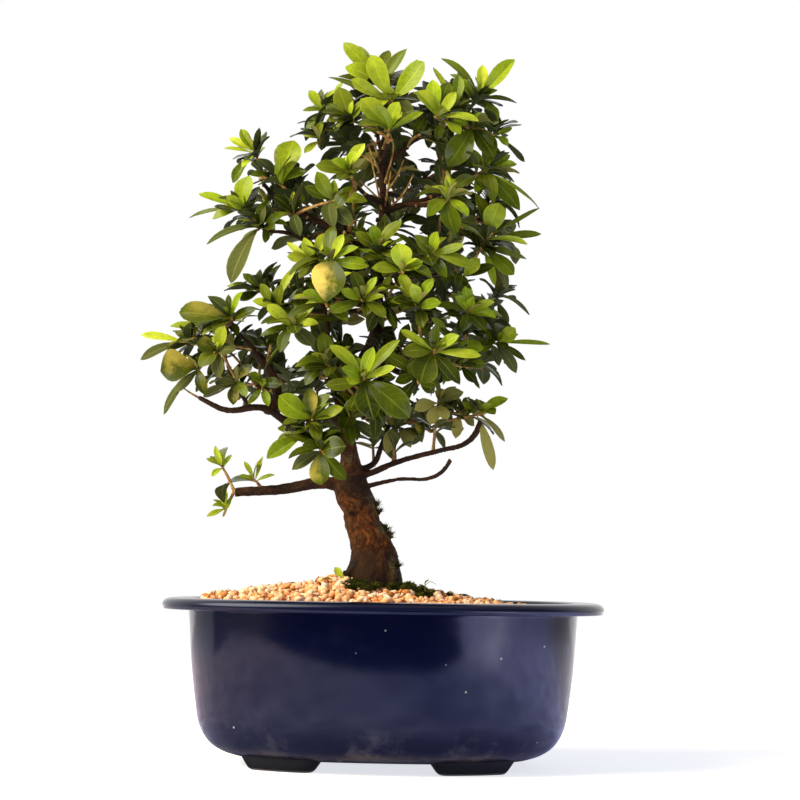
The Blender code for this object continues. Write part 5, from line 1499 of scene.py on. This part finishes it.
def crumb_shape(draw, points):
    """One granule: the hull of a few points on a bumpy ball of radius 1."""
    ball = bmesh.new()
    for _ in range(points):
        ball.verts.new(any_way(draw).normalized() * draw.uniform(0.86, 1.08))
    hull = bmesh.ops.convex_hull(ball, input=ball.verts)
    inner = [v for v in hull["geom_interior"] if isinstance(v, bmesh.types.BMVert)]
    bmesh.ops.delete(ball, geom=inner, context="VERTS")
    ball.verts.index_update()
    bmesh.ops.recalc_face_normals(ball, faces=ball.faces)
    shape = np.array([v.co[:] for v in ball.verts]), [tuple(v.index for v in f.verts) for f in ball.faces]
    ball.free()
    return shape


# The bed of soil lies under its granules, which keep off the trunk and off the pot's wall. Beside the rows
# of them, more lie on top, spread as far as LOOSE_REACH says, and some are heaped at the trunk's left.
SOIL_EDGE = POT_INSIDE[0][0] - CLEARANCE
BED_SHARES = (1.0, 0.97, 0.92, 0.85, 0.77, 0.69, 0.61, 0.53, 0.45, 0.37, 0.29, 0.2, 0.1)
BED_DROP = 1.6
GRANULES_KEEP_OFF = 15.5
GRANULES_INSIDE = SOIL_EDGE - 2.6
GRANULE_SIZES = (1.4, 1.8, 2.2, 2.5, 2.8)
GRANULE_SPACING = 4.1
GRANULE_KINDS = 14
ROWS, COLUMNS = range(-23, 24), range(-29, 30)
LOOSE_COUNT, LOOSE_REACH = 620, (105, 76)
HEAP_COUNT, HEAP_SPOT, HEAP_SPREAD = 60, (-26, -17), 4


def make_soil_bed(granules):
    """The bed of soil under the loose granules, closed all round."""
    rings = [[Vector((*oval_point(half - CLEARANCE, turn), z + CLEARANCE)) for turn in turns(96)]
             for half, z in reversed(POT_INSIDE)]
    for share in BED_SHARES:
        ring = []
        for turn in turns(96):
            x, y = [way * share for way in oval_point(SOIL_EDGE, turn)]
            lumps = noise.noise(Vector((x, y, 0)) * 0.35) * 1.2 * (share < 1)
            ring.append(Vector((x, y, soil_height(x, y) - EDGE_DROP * share ** 6 - BED_DROP + lumps)))
        rings.append(ring)
    bed = new_object("soil_bed", *loft(rings, Vector((0, 0, soil_height(0, 0) - BED_DROP))), [granules])
    # The bed takes the darkest colour of the granules: painted shade in the gaps between them.
    add_attribute(bed, "granule", [0] * len(bed.data.vertices))
    dress(bed, "soil_granules", "soil")


def make_granules(granules):
    """Loose granules over the bed: rows of them, others on top, and a heap by the trunk."""
    draw = random.Random(GRANULE_SEED)
    crumbs = [crumb_shape(draw, 19) for _ in range(GRANULE_KINDS)]
    points, loops, shades = [], [], []
    foot = Vector(TRUNK[3][:2])

    def lay(x, y, lift):
        reach = oval_y(GRANULES_INSIDE, x) if abs(x) < GRANULES_INSIDE else 0
        if abs(y) > reach or (Vector((x, y)) - foot).length < GRANULES_KEEP_OFF:
            return
        shape, hull = crumbs[draw.randrange(len(crumbs))]
        size = draw.choice(GRANULE_SIZES) * draw.uniform(0.9, 1.1)
        spin = np.array(Matrix.Rotation(draw.uniform(0, 6.28), 3, any_way(draw)))
        squash = np.array((draw.uniform(0.95, 1.3), draw.uniform(0.8, 1.05), draw.uniform(0.7, 0.9))) * size
        full = ((x / SOIL_EDGE) ** 2 + (y / (SOIL_EDGE - POT_NARROWER)) ** 2) ** 0.5
        z = soil_height(x, y) - EDGE_DROP * min(1, full) ** 6 - 0.9 + lift
        loops.extend(tuple(len(points) + i for i in loop) for loop in hull)
        points.extend((shape * squash) @ spin + np.array((x, y, z)))
        # A granule's lower side is painted darker: painted shade.
        tone = draw.betavariate(2.2, 1.6)
        shades.extend(tone * min(1, max(0, 0.35 + 0.75 * rise)) for rise in (shape @ spin)[:, 2] + 0.3)

    for row in ROWS:
        for column in COLUMNS:
            lay((column + 0.5 * (row % 2)) * GRANULE_SPACING + draw.uniform(-1, 1),
                row * GRANULE_SPACING * 0.87 + draw.uniform(-1, 1), draw.uniform(-0.9, 0.7))
    for _ in range(LOOSE_COUNT):
        lay(*[draw.uniform(-reach, reach) for reach in LOOSE_REACH], draw.uniform(0.8, 2.3))
    for _ in range(HEAP_COUNT):
        lay(*[draw.gauss(middle, HEAP_SPREAD) for middle in HEAP_SPOT], draw.uniform(1.5, 4.5))
    grit = new_object("soil_granules", points, loops, [granules])
    add_attribute(grit, "granule", shades)
    dress(grit, "soil_granules", "soil")


def on_soil(x, y, lift=0.0):
    return Vector((x, y, soil_height(x, y) + lift))


def moss_shape(centre, across, high, draw, spikes, stretch=1.0):
    """A cushion of moss: a low mound set with small pointed leaves."""
    mound, hull = crumb_shape(draw, 26)
    shapes = [(mound * np.array((across, across * 0.8, high)) * 0.8 + np.array(centre), hull)]
    for _ in range(spikes):
        way = Vector((draw.gauss(0, 1), draw.gauss(0, 1), abs(draw.gauss(0.4, 0.8)))).normalized()
        foot = centre + Vector((way.x * across, way.y * across * 0.8, way.z * high)) * 0.72
        lean = (way + Vector((draw.gauss(0, 0.5), draw.gauss(0, 0.5), 0.4))).normalized()
        length = draw.uniform(0.9, 2.0) * stretch
        side = lean.orthogonal().normalized() * 0.28
        other = lean.cross(side).normalized() * 0.28
        corners = [foot + side, foot - side * 0.5 + other, foot - side * 0.5 - other, foot + lean * length]
        shapes.append((corners, [(0, 2, 1), (0, 1, 3), (1, 2, 3), (2, 0, 3)]))
    return shapes


# Moss cushions: x, y, half width and height. Those on the bark have their own heights.
SOIL_MOSS = (
    (-20, -17, 4.4, 4.2), (-15, -20, 5.0, 4.6), (-9, -22, 4.6, 3.6), (-2, -23, 4.2, 3.2), (5, -21, 4.4, 3.4),
    (11, -18, 4.8, 4.6), (15, -13, 4.6, 5.0), (17, -19, 4.4, 3.6), (22, -20, 4.2, 3.4), (27, -22, 4.2, 2.8),
    (32, -20, 3.4, 2.4), (22, -12, 3.8, 3.0), (15, 2, 4.6, 3.8), (8, 16, 4.8, 3.2), (-8, 21, 5.0, 3.4),
    (-24, 14, 4.4, 2.8), (-27, 0, 3.8, 3.0), (38, -18, 2.6, 1.8), (-18, -27, 4.6, 3.6), (-12, -31, 4.8, 3.4),
    (-5, -30, 4.2, 3.0), (-16, -36, 3.8, 2.8), (-8, -38, 3.4, 2.6), (12, -27, 4.0, 3.4), (19, -29, 3.8, 3.2),
    (26, -31, 3.6, 2.6), (22, -38, 2.8, 2.2))
BARK_MOSS = ((0.5, -5, 148, 1.3, 1.8), (1.5, -4, 143, 1.5, 2.0), (2.5, -5, 134, 1.4, 1.8),
             (3.5, -5, 130, 1.6, 2.0), (8.5, -6, 112, 1.6, 2.0), (2.5, 4, 128, 1.8, 2.4),
             (-2, 9, 120, 2.2, 2.6))


def make_moss(moss, dry_moss, surface):
    """Cushions on the soil, and small dry tufts seated on the bark."""
    draw = random.Random(MOSS_SEED)
    cushions = []
    for x, y, wide, high in SOIL_MOSS:
        cushions += moss_shape(on_soil(x, y, 0.8), wide, high, draw, 150)
    tufts = []
    for *spot, wide, high in BARK_MOSS:
        seat, out, _, _ = surface.find_nearest(Vector(spot))
        tufts += moss_shape(seat + out * 0.2, wide, high, draw, 60, 2.2)
    for name, shapes, skin in (("soil_moss", cushions, moss), ("bark_moss", tufts, dry_moss)):
        dress(new_object(name, *joined(shapes), [skin], smooth=False), "mature_leaf")


def smooth_profile(rows, step):
    line = smooth_line([Vector((half, 0, z)) for half, z in rows], step)
    return [(spot.x, spot.z) for spot, _ in line]


# The moulded pot, finer than its solid: its lip between the outside and the inside, and its feet's rounded
# lower edges, as heights and how far they stand in.
LIP_LINE = (
    (110.35, 88.3), (111.2, 88.95), (116, 89.0), (121.2, 88.95), (122.2, 88.6), (122.7, 87.8), (123.0, 87.1),
    (123.4, 86.75), (123.9, 86.7), (124.4, 87.0), (124.8, 88.2), (124.97, 89.3), (124.75, 90.3),
    (124.0, 91.4), (122.8, 92.25), (121.0, 92.75), (118, RIM_TOP), (113, 92.95), (110.2, 92.7), (108.9, 92.2),
    (108.0, 91.0), (107.5, 89.0))
POT_COLUMNS = 208
POT_SHARP = math.radians(38)
FOOT_TOP = UNDERSIDE + FOOT_SUNK
FOOT_EDGE = ((0.0, FOOT_DRAFT + 1.2), (0.4, FOOT_DRAFT + 0.6), (1.1, FOOT_DRAFT + 0.15),
             (2.2, FOOT_DRAFT * 0.8), (FOOT_TOP, 0))


def make_pot(plastic):
    """The pot: a thin moulded shell with a rolled lip, four feet and two drainage holes."""
    profile = smooth_profile(POT_OUTSIDE, 2.5) + list(LIP_LINE) + smooth_profile(POT_INSIDE, 3.5)
    rings = [[Vector((*oval_point(half, turn), z)) for turn in turns(POT_COLUMNS)] for half, z in profile]
    pot = new_object("pot_shell", *loft(rings), [plastic])
    tools = []
    for side_x in (-1, 1):
        tools += [("UNION", fine_foot(side_x, side_y)) for side_y in (-1, 1)]
        tools.append(("DIFFERENCE", fine_disc(side_x * DRAIN_X)))
    for operation, shape in tools:
        tool = new_object("tool", *shape, [plastic])
        cut = pot.modifiers.new("cut", "BOOLEAN")
        cut.operation = operation
        cut.solver = "EXACT"
        cut.object = tool
        finish_modifiers(pot)
        bpy.data.objects.remove(tool)
    pot.data.shade_smooth()
    pot.data.set_sharp_from_angle(angle=POT_SHARP)
    dress(pot, "navy_plastic", "pot")


def fine_foot(side_x, side_y):
    """One foot: a bar along the oval with round ends that slope in to the floor."""
    rings = []
    for z, inset in FOOT_EDGE:
        half = FOOT_WIDTH / 2 - inset
        slope = FOOT_END_DRAFT * (1 - z / FOOT_TOP)
        low = FOOT_INNER_X + FOOT_WIDTH / 2 + slope
        high = FOOT_OUTER_X - FOOT_WIDTH / 2 - slope
        line = [low + (high - low) * i / 14 for i in range(15)]
        middle = [Vector((x, oval_y(FOOT_ON_OVAL, x) - FOOT_WIDTH / 2, 0)) for x in line]
        runs = [(middle[min(i + 1, 14)] - middle[max(i - 1, 0)]).normalized() for i in range(15)]
        across = [Vector((-run.y, run.x, 0)) for run in runs]
        ring = []
        # Out along one side and round its end, then back along the other.
        for side, order in ((1, range(15)), (-1, range(14, -1, -1))):
            ring += [middle[i] + across[i] * half * side for i in order]
            end = order[-1]
            for k in range(1, 8):
                turn = math.pi * k / 8
                out = across[end] * math.cos(turn) + runs[end] * math.sin(turn)
                ring.append(middle[end] + out * half * side)
        ring = [Vector((side_x * v.x, side_y * v.y, z)) for v in ring]
        # loft() needs each ring to turn anticlockwise seen from above.
        rings.append(ring if side_x * side_y < 0 else ring[::-1])
    return loft(rings)


def fine_disc(x):
    """A disc through the pot's floor, for a drainage hole."""
    return loft([[Vector((x + DRAIN_RADIUS * math.cos(turn), DRAIN_RADIUS * math.sin(turn), z))
                  for turn in turns(64)] for z in (-1, FLOOR_TOP + 5)])


# A seedling in the soil: its foot, and its two stems as their radius and bends from there. Then the bare
# twigs in the crown, in the same way from the plan's own zero.
SEEDLING = (24, -24, -1)
SEEDLING_STEMS = ((0.35, (0, 0, 0), (0.6, 0, 4), (0.2, 0, 8)), (0.2, (0.3, 0, 6), (3, 0, 8.5), (6.5, 0, 7)))
BARE_TWIGS = ((0.75, (-5, -2, 337), (-9, -8, 346), (-13, -9, 355)),
              (0.75, (-4.5, -2, 330), (0, -8, 343), (2, -11, 353), (0, -10, 361)),
              (0.7, (-4, -3, 315), (-8, -10, 334), (-12, -14, 352)),
              (0.7, (-3, -3, 318), (-1, -10, 328), (1, -15, 338)),
              (0.7, (-3, -2, 321), (-10, -8, 327), (-17, -12, 333)),
              (0.7, (0, -3, 319), (8, -9, 326), (14, -15, 336)),
              (0.7, (-4, -2, 326), (4, -8, 336), (8, -10, 346)),
              (0.7, (-4, -2, 343), (-7, -8, 349), (-11, -10, 359)),
              (0.75, (-104, -20, 205), (-110, -20, 208), (-116, -19, 212)))


def make_strays(skins):
    """Small things on and in the soil and the crown: a seedling, dropped leaves and bare twigs."""
    draw = random.Random(STRAY_SEED)
    seedling = on_soil(*SEEDLING)
    wood = []
    for foot, stems in ((seedling, SEEDLING_STEMS), (Vector(), BARE_TWIGS)):
        for radius, *bends in stems:
            spots = smooth_line([foot + Vector(bend) for bend in bends], 1.5)
            radii = [radius * (1 - 0.5 * k / len(spots)) for k in range(len(spots))]
            wood.append(tube_shape([spot for spot, _ in spots], radii, 6))
    leaves = ((seedling + Vector((0.6, 0, 5)), seedling + Vector((-2.5, -1, 7)), 1.4, "m", UP),
              (seedling + Vector((0.2, 0, 7.5)), seedling + Vector((2, 1, 9.5)), 1.2, "m", UP),
              (on_soil(-21, -21, 4.5), on_soil(-26.5, -20, 10), 4.4, "y", TO_VIEWER),
              (on_soil(-34, -24, 3.5), on_soil(-28, -25, 4.5), 2.6, "y", UP),
              (on_soil(40, 22, 1.2), on_soil(50, 26, 1.6), 5.0, "m", UP),
              (on_soil(-60, 20, 1.2), on_soil(-50, 26, 1.6), 4.5, "m", UP))
    blades = [((root, tip, width, upper_side(tip - root, facing)), tone)
              for root, tip, width, tone, facing in leaves]

    def marks(_, tone):
        return draw.random(), 0.9 if tone == "y" else 0.2, 0, 0

    dress(leafy_piece("small_finds", wood, blades, skins, draw, marks), "young_leaf")


# The camera: 1.1 m off at the height of the rim, looking a little up.
CAMERA_FAR = 1100
CAMERA_HIGH = 108.72
CAMERA_PITCH = math.radians(5.138)
CAMERA_ROLL = math.radians(0.906)
CAMERA_YAW = math.radians(3.008)
CAMERA_ACROSS = 7.512
SENSOR = 36
LENS = 1918.2 / 800 * SENSOR


def set_camera():
    sine, cosine = math.sin(CAMERA_YAW), math.cos(CAMERA_YAW)
    spot = here((sine * CAMERA_FAR + cosine * CAMERA_ACROSS, -cosine * CAMERA_FAR + sine * CAMERA_ACROSS,
                 CAMERA_HIGH))
    ahead = Vector((-sine * math.cos(CAMERA_PITCH), cosine * math.cos(CAMERA_PITCH), math.sin(CAMERA_PITCH)))
    right = Vector((cosine, sine, 0))
    above = right.cross(ahead)
    rolled = right * math.cos(CAMERA_ROLL) + above * math.sin(CAMERA_ROLL)
    above = rolled.cross(ahead)
    data = bpy.data.cameras.new("camera")
    data.lens = LENS
    data.sensor_width = SENSOR
    camera = bpy.data.objects.new("camera", data)
    camera.matrix_world = Matrix.Translation(spot) @ Matrix((rolled, above, -ahead)).transposed().to_4x4()
    bpy.context.scene.collection.objects.link(camera)
    bpy.context.scene.camera = camera


def soft_light(name, spot, aim, wide, high, power, hex_colour):
    """A softbox at a plan point in millimetres, turned to another."""
    data = bpy.data.lights.new(name, "AREA")
    data.shape = "RECTANGLE"
    data.size, data.size_y = wide * MM, high * MM
    data.energy = power
    data.color = colour(hex_colour)[:3]
    lamp = bpy.data.objects.new(name, data)
    lamp.location = here(spot)
    lamp.rotation_euler = (here(aim) - here(spot)).to_track_quat("-Z", "Y").to_euler()
    lamp.visible_camera = False
    lamp.visible_glossy = False
    bpy.context.scene.collection.objects.link(lamp)


# How bright the studio is: to the eye, and as light; and how much the paper glows.
SEEN_LEVEL = 1.0
LIGHT_LEVEL = 0.16
PAPER_GLOW_NEAR = 0.78
PAPER_GLOW_FAR = 0.95
PAPER_REACH = 3000
PAPER_DOWN = -0.2
# In a gloss the studio is white behind the part and dark in front of it, where the room is.
GLOSS_BEHIND = 0.9
GLOSS_AHEAD = 0.16
GLOSS_ABOVE = 0.42
KEY_WAY = (-0.68, -0.39, 0.62)
WINDOW_LEVEL = 5.0


def lit_paper():
    """White seamless paper, lit from below where the softboxes fall off, so that it stays even."""
    material, shader, add = start_material("lit_paper")
    reach = add("reach", add("TexCoord", give="Object"))
    glow = add("slope", reach, 0.15, 1.6, PAPER_GLOW_NEAR, PAPER_GLOW_FAR)
    connect(shader, {"Base Color": "F9F8F6", "Roughness": 0.9, "Specular IOR Level": 0.1,
                     "Emission Color": "F2F5FB", "Emission Strength": glow})
    return material


# The floor as the pot's gloss shows it, painted as reflection on a glowing card that only a gloss sees:
# from left to right, how bright it is in red, green and blue; the line round the part that stays dark;
# and painted glints of the lamps.
CARD_TONES = ((-1100, 0.45, 0.45, 0.48), (-700, 0.8, 0.76, 0.82), (-450, 1.1, 0.95, 1.0),
              (-300, 1.15, 0.95, 1.05), (-200, 0.95, 0.8, 0.97), (-100, 0.82, 0.79, 1.08),
              (0, 0.69, 0.74, 1.15), (65, 0.48, 0.5, 0.95), (160, 0.9, 0.95, 1.7), (230, 1.25, 1.3, 2.4),
              (350, 1.6, 1.6, 2.9), (600, 1.45, 1.5, 2.7), (1000, 0.6, 0.6, 0.95))
DARK_ROOM = ((-1500, 60), (-480, 0), (-560, -120), (-640, -215), (-455, -405), (-300, -385), (-165, -335),
             (-17, -275), (95, -280), (165, -330), (240, -450), (290, -600), (340, -1000), (360, -1700),
             (-1500, -1700))
DARK_FADE = 22
GLINTS = ((250, -290, 62, 1.1), (330, -380, 75, 1.2), (420, -450, 80, 1.2), (512, -456, 52, 2.4))
CARD_ACROSS = range(-1500, 1501, 20)
CARD_DEEP = range(-1700, 901, 20)


def dark_share(x, y):
    """How far a place lies inside the dark room's line, from 0 to 1 over the fade."""
    spot = np.array((x, y))
    corners = np.array(DARK_ROOM, float)
    ahead = np.roll(corners, -1, axis=0)
    run = ahead - corners
    share = np.clip(((spot - corners) * run).sum(1) / (run * run).sum(1), 0, 1)
    gap = np.linalg.norm(spot - corners - run * share[:, None], axis=1).min()
    crossed = (corners[:, 1] > y) != (ahead[:, 1] > y)
    level = np.where(crossed, ahead[:, 1] - corners[:, 1], 1)
    inside = np.sum(crossed & (x < corners[:, 0] + (y - corners[:, 1]) * run[:, 0] / level)) % 2
    dark = np.clip(0.5 + (gap if inside else -gap) / (2 * DARK_FADE), 0, 1)
    return dark * dark * (3 - 2 * dark)


def card_light(x, y):
    """How bright the card is at a place, in linear red, green and blue."""
    rows = np.array(CARD_TONES)
    light = np.array([np.interp(x, rows[:, 0], rows[:, i]) for i in (1, 2, 3)])
    # To the right of the pot the floor is duller and less blue toward the back.
    if x > 100:
        light *= 1 - np.array((0.3, 0.35, 0.6)) * min(1, max(0, (y + 50) / 250))
    # The far left of the dark room is less dark.
    light *= 1 - dark_share(x, y) * (0.75 if x < -480 else 1)
    # Close to the pot the floor lies in its shade.
    shade = min(1, max(0, (math.hypot(x / 118, y / 88) - 0.75) / 0.6))
    light *= 0.2 + 0.8 * shade
    for glint_x, glint_y, reach, strength in GLINTS:
        light += strength * math.exp(-((x - glint_x) ** 2 + (y - glint_y) ** 2) / reach ** 2)
    return light


def make_card():
    """The card: a glowing sheet of small squares round the pot, painted with its reflections, each corner as
    bright as card_light() says.
    """
    vertices = [(x, y, 1) for y in CARD_DEEP for x in CARD_ACROSS]
    wide = len(CARD_ACROSS)
    corners = [row * wide + i for row in range(len(CARD_DEEP) - 1) for i in range(wide - 1)]
    faces = [(a, a + 1, a + wide + 1, a + wide) for a in corners]
    material, shader, add = start_material("gloss_card")
    shown = add("Attribute", give="Vector", attribute_name="card_light")
    # Cloudy patches, 40 mm apart, mottle the painted reflection.
    reflection_clouds = add("slope", add("TexNoise", add("TexCoord", give="Object"), 22.0, 5.0), 0.3, 0.7, 0.75, 1.25)
    connect(shader, {"Base Color": "000000", "Roughness": 1.0, "Specular IOR Level": 0.0,
                     "Emission Color": shown, "Emission Strength": reflection_clouds})
    card = new_object("gloss_card", vertices, faces, [material])
    add_attribute(card, "card_light", [card_light(x, y) for x, y, _ in vertices])
    card.visible_camera = False
    card.visible_diffuse = False
    card.visible_shadow = False


def set_world():
    """Even white to the eye, dim as light, and in a gloss a white wall, a dark room and a soft window."""
    world = bpy.data.worlds.new("studio")
    world.use_nodes = True
    bpy.context.scene.world = world
    add = partial(add_node, world.node_tree)
    path = add("LightPath").node.outputs
    way = add("TexCoord", give="Generated")
    _, deep, up = add("SeparateXYZ", way).node.outputs
    gloss = add("slope", deep, -0.35, 0.45, GLOSS_AHEAD, GLOSS_BEHIND)
    gloss = add("MapRange", add("slope", up, 0.6, 0.95), 0.0, 1.0, gloss, GLOSS_ABOVE)
    # Instead of the lamp itself, a gloss shows a wide soft window where it stands.
    gloss = add("plus", gloss, add("slope", add("toward", way, KEY_WAY), 0.78, 1.0, 0.0, WINDOW_LEVEL))
    level = add("MapRange", path["Is Glossy Ray"], 0.0, 1.0, LIGHT_LEVEL, gloss)
    level = add("MapRange", path["Is Camera Ray"], 0.0, 1.0, level, SEEN_LEVEL)
    connect(world.node_tree.nodes["Background"], {"Color": "FFFFFF", "Strength": level})


def set_studio():
    """White paper under the part, soft warm light from the upper left, and a card for the gloss."""
    set_world()
    rim = [(PAPER_REACH * math.cos(turn), PAPER_REACH * math.sin(turn), PAPER_DOWN) for turn in turns(96)]
    faces = [(i, (i + 1) % 96, 96) for i in range(96)]
    floor = new_object("floor", rim + [(0, 0, PAPER_DOWN)], faces, [lit_paper()])
    make_card()
    soft_light("key", (-1150, -650, 1050), (0, 0, 230), 900, 900, 52, "FFE6C0")
    soft_light("fill", (900, -900, 500), (0, 0, 180), 500, 900, 2.0, "F4F6FF")
    bpy.context.scene.view_settings.view_transform = "Standard"


set_camera()
set_studio()
leaf, bark, twig = azalea_leaf(), azalea_bark(), young_twig()
granules, navy, net = kanuma_granules(), navy_polypropylene(), black_polyethylene()
moss = moss_leaves("cushion_moss", ("12160A", "2B3210", "545A1C", "8E8A3C"))
dry_moss = moss_leaves("dry_moss", ("221C0C", "3F3A18", "6B6030", "8E8248"))
space = Space()
sprays = grow_tree(FILL_TO, space)
keep_gaps(space)
extra = more_leaves(sprays, space)
finishes = {part["node"]: part["material_slot"] for part in frame["record"]["subparts"]}
for number, (name, (lines, leaves)) in enumerate(sprays.items()):
    node = f"{name}_spray"
    make_foliage(name, lines, leaves + extra[name], [leaf, twig], finishes[node],
                  FIRST_SPRAY_SEED + number, node)
inner_lines, inner_leaves = inner_shoots(space)
make_foliage("inner_crown", inner_lines, inner_leaves, [leaf, twig], "mature_leaf", CROWN_SEED)
surface = make_wood(bark)
make_soil_bed(granules)
make_granules(granules)
make_moss(moss, dry_moss, surface)
make_pot(navy)
make_strays([leaf, twig])
for side in ("left", "right"):
    screen = bpy.data.objects[f"drain_screen_{side}"]
    screen.data.materials.clear()
    screen.data.materials.append(net)
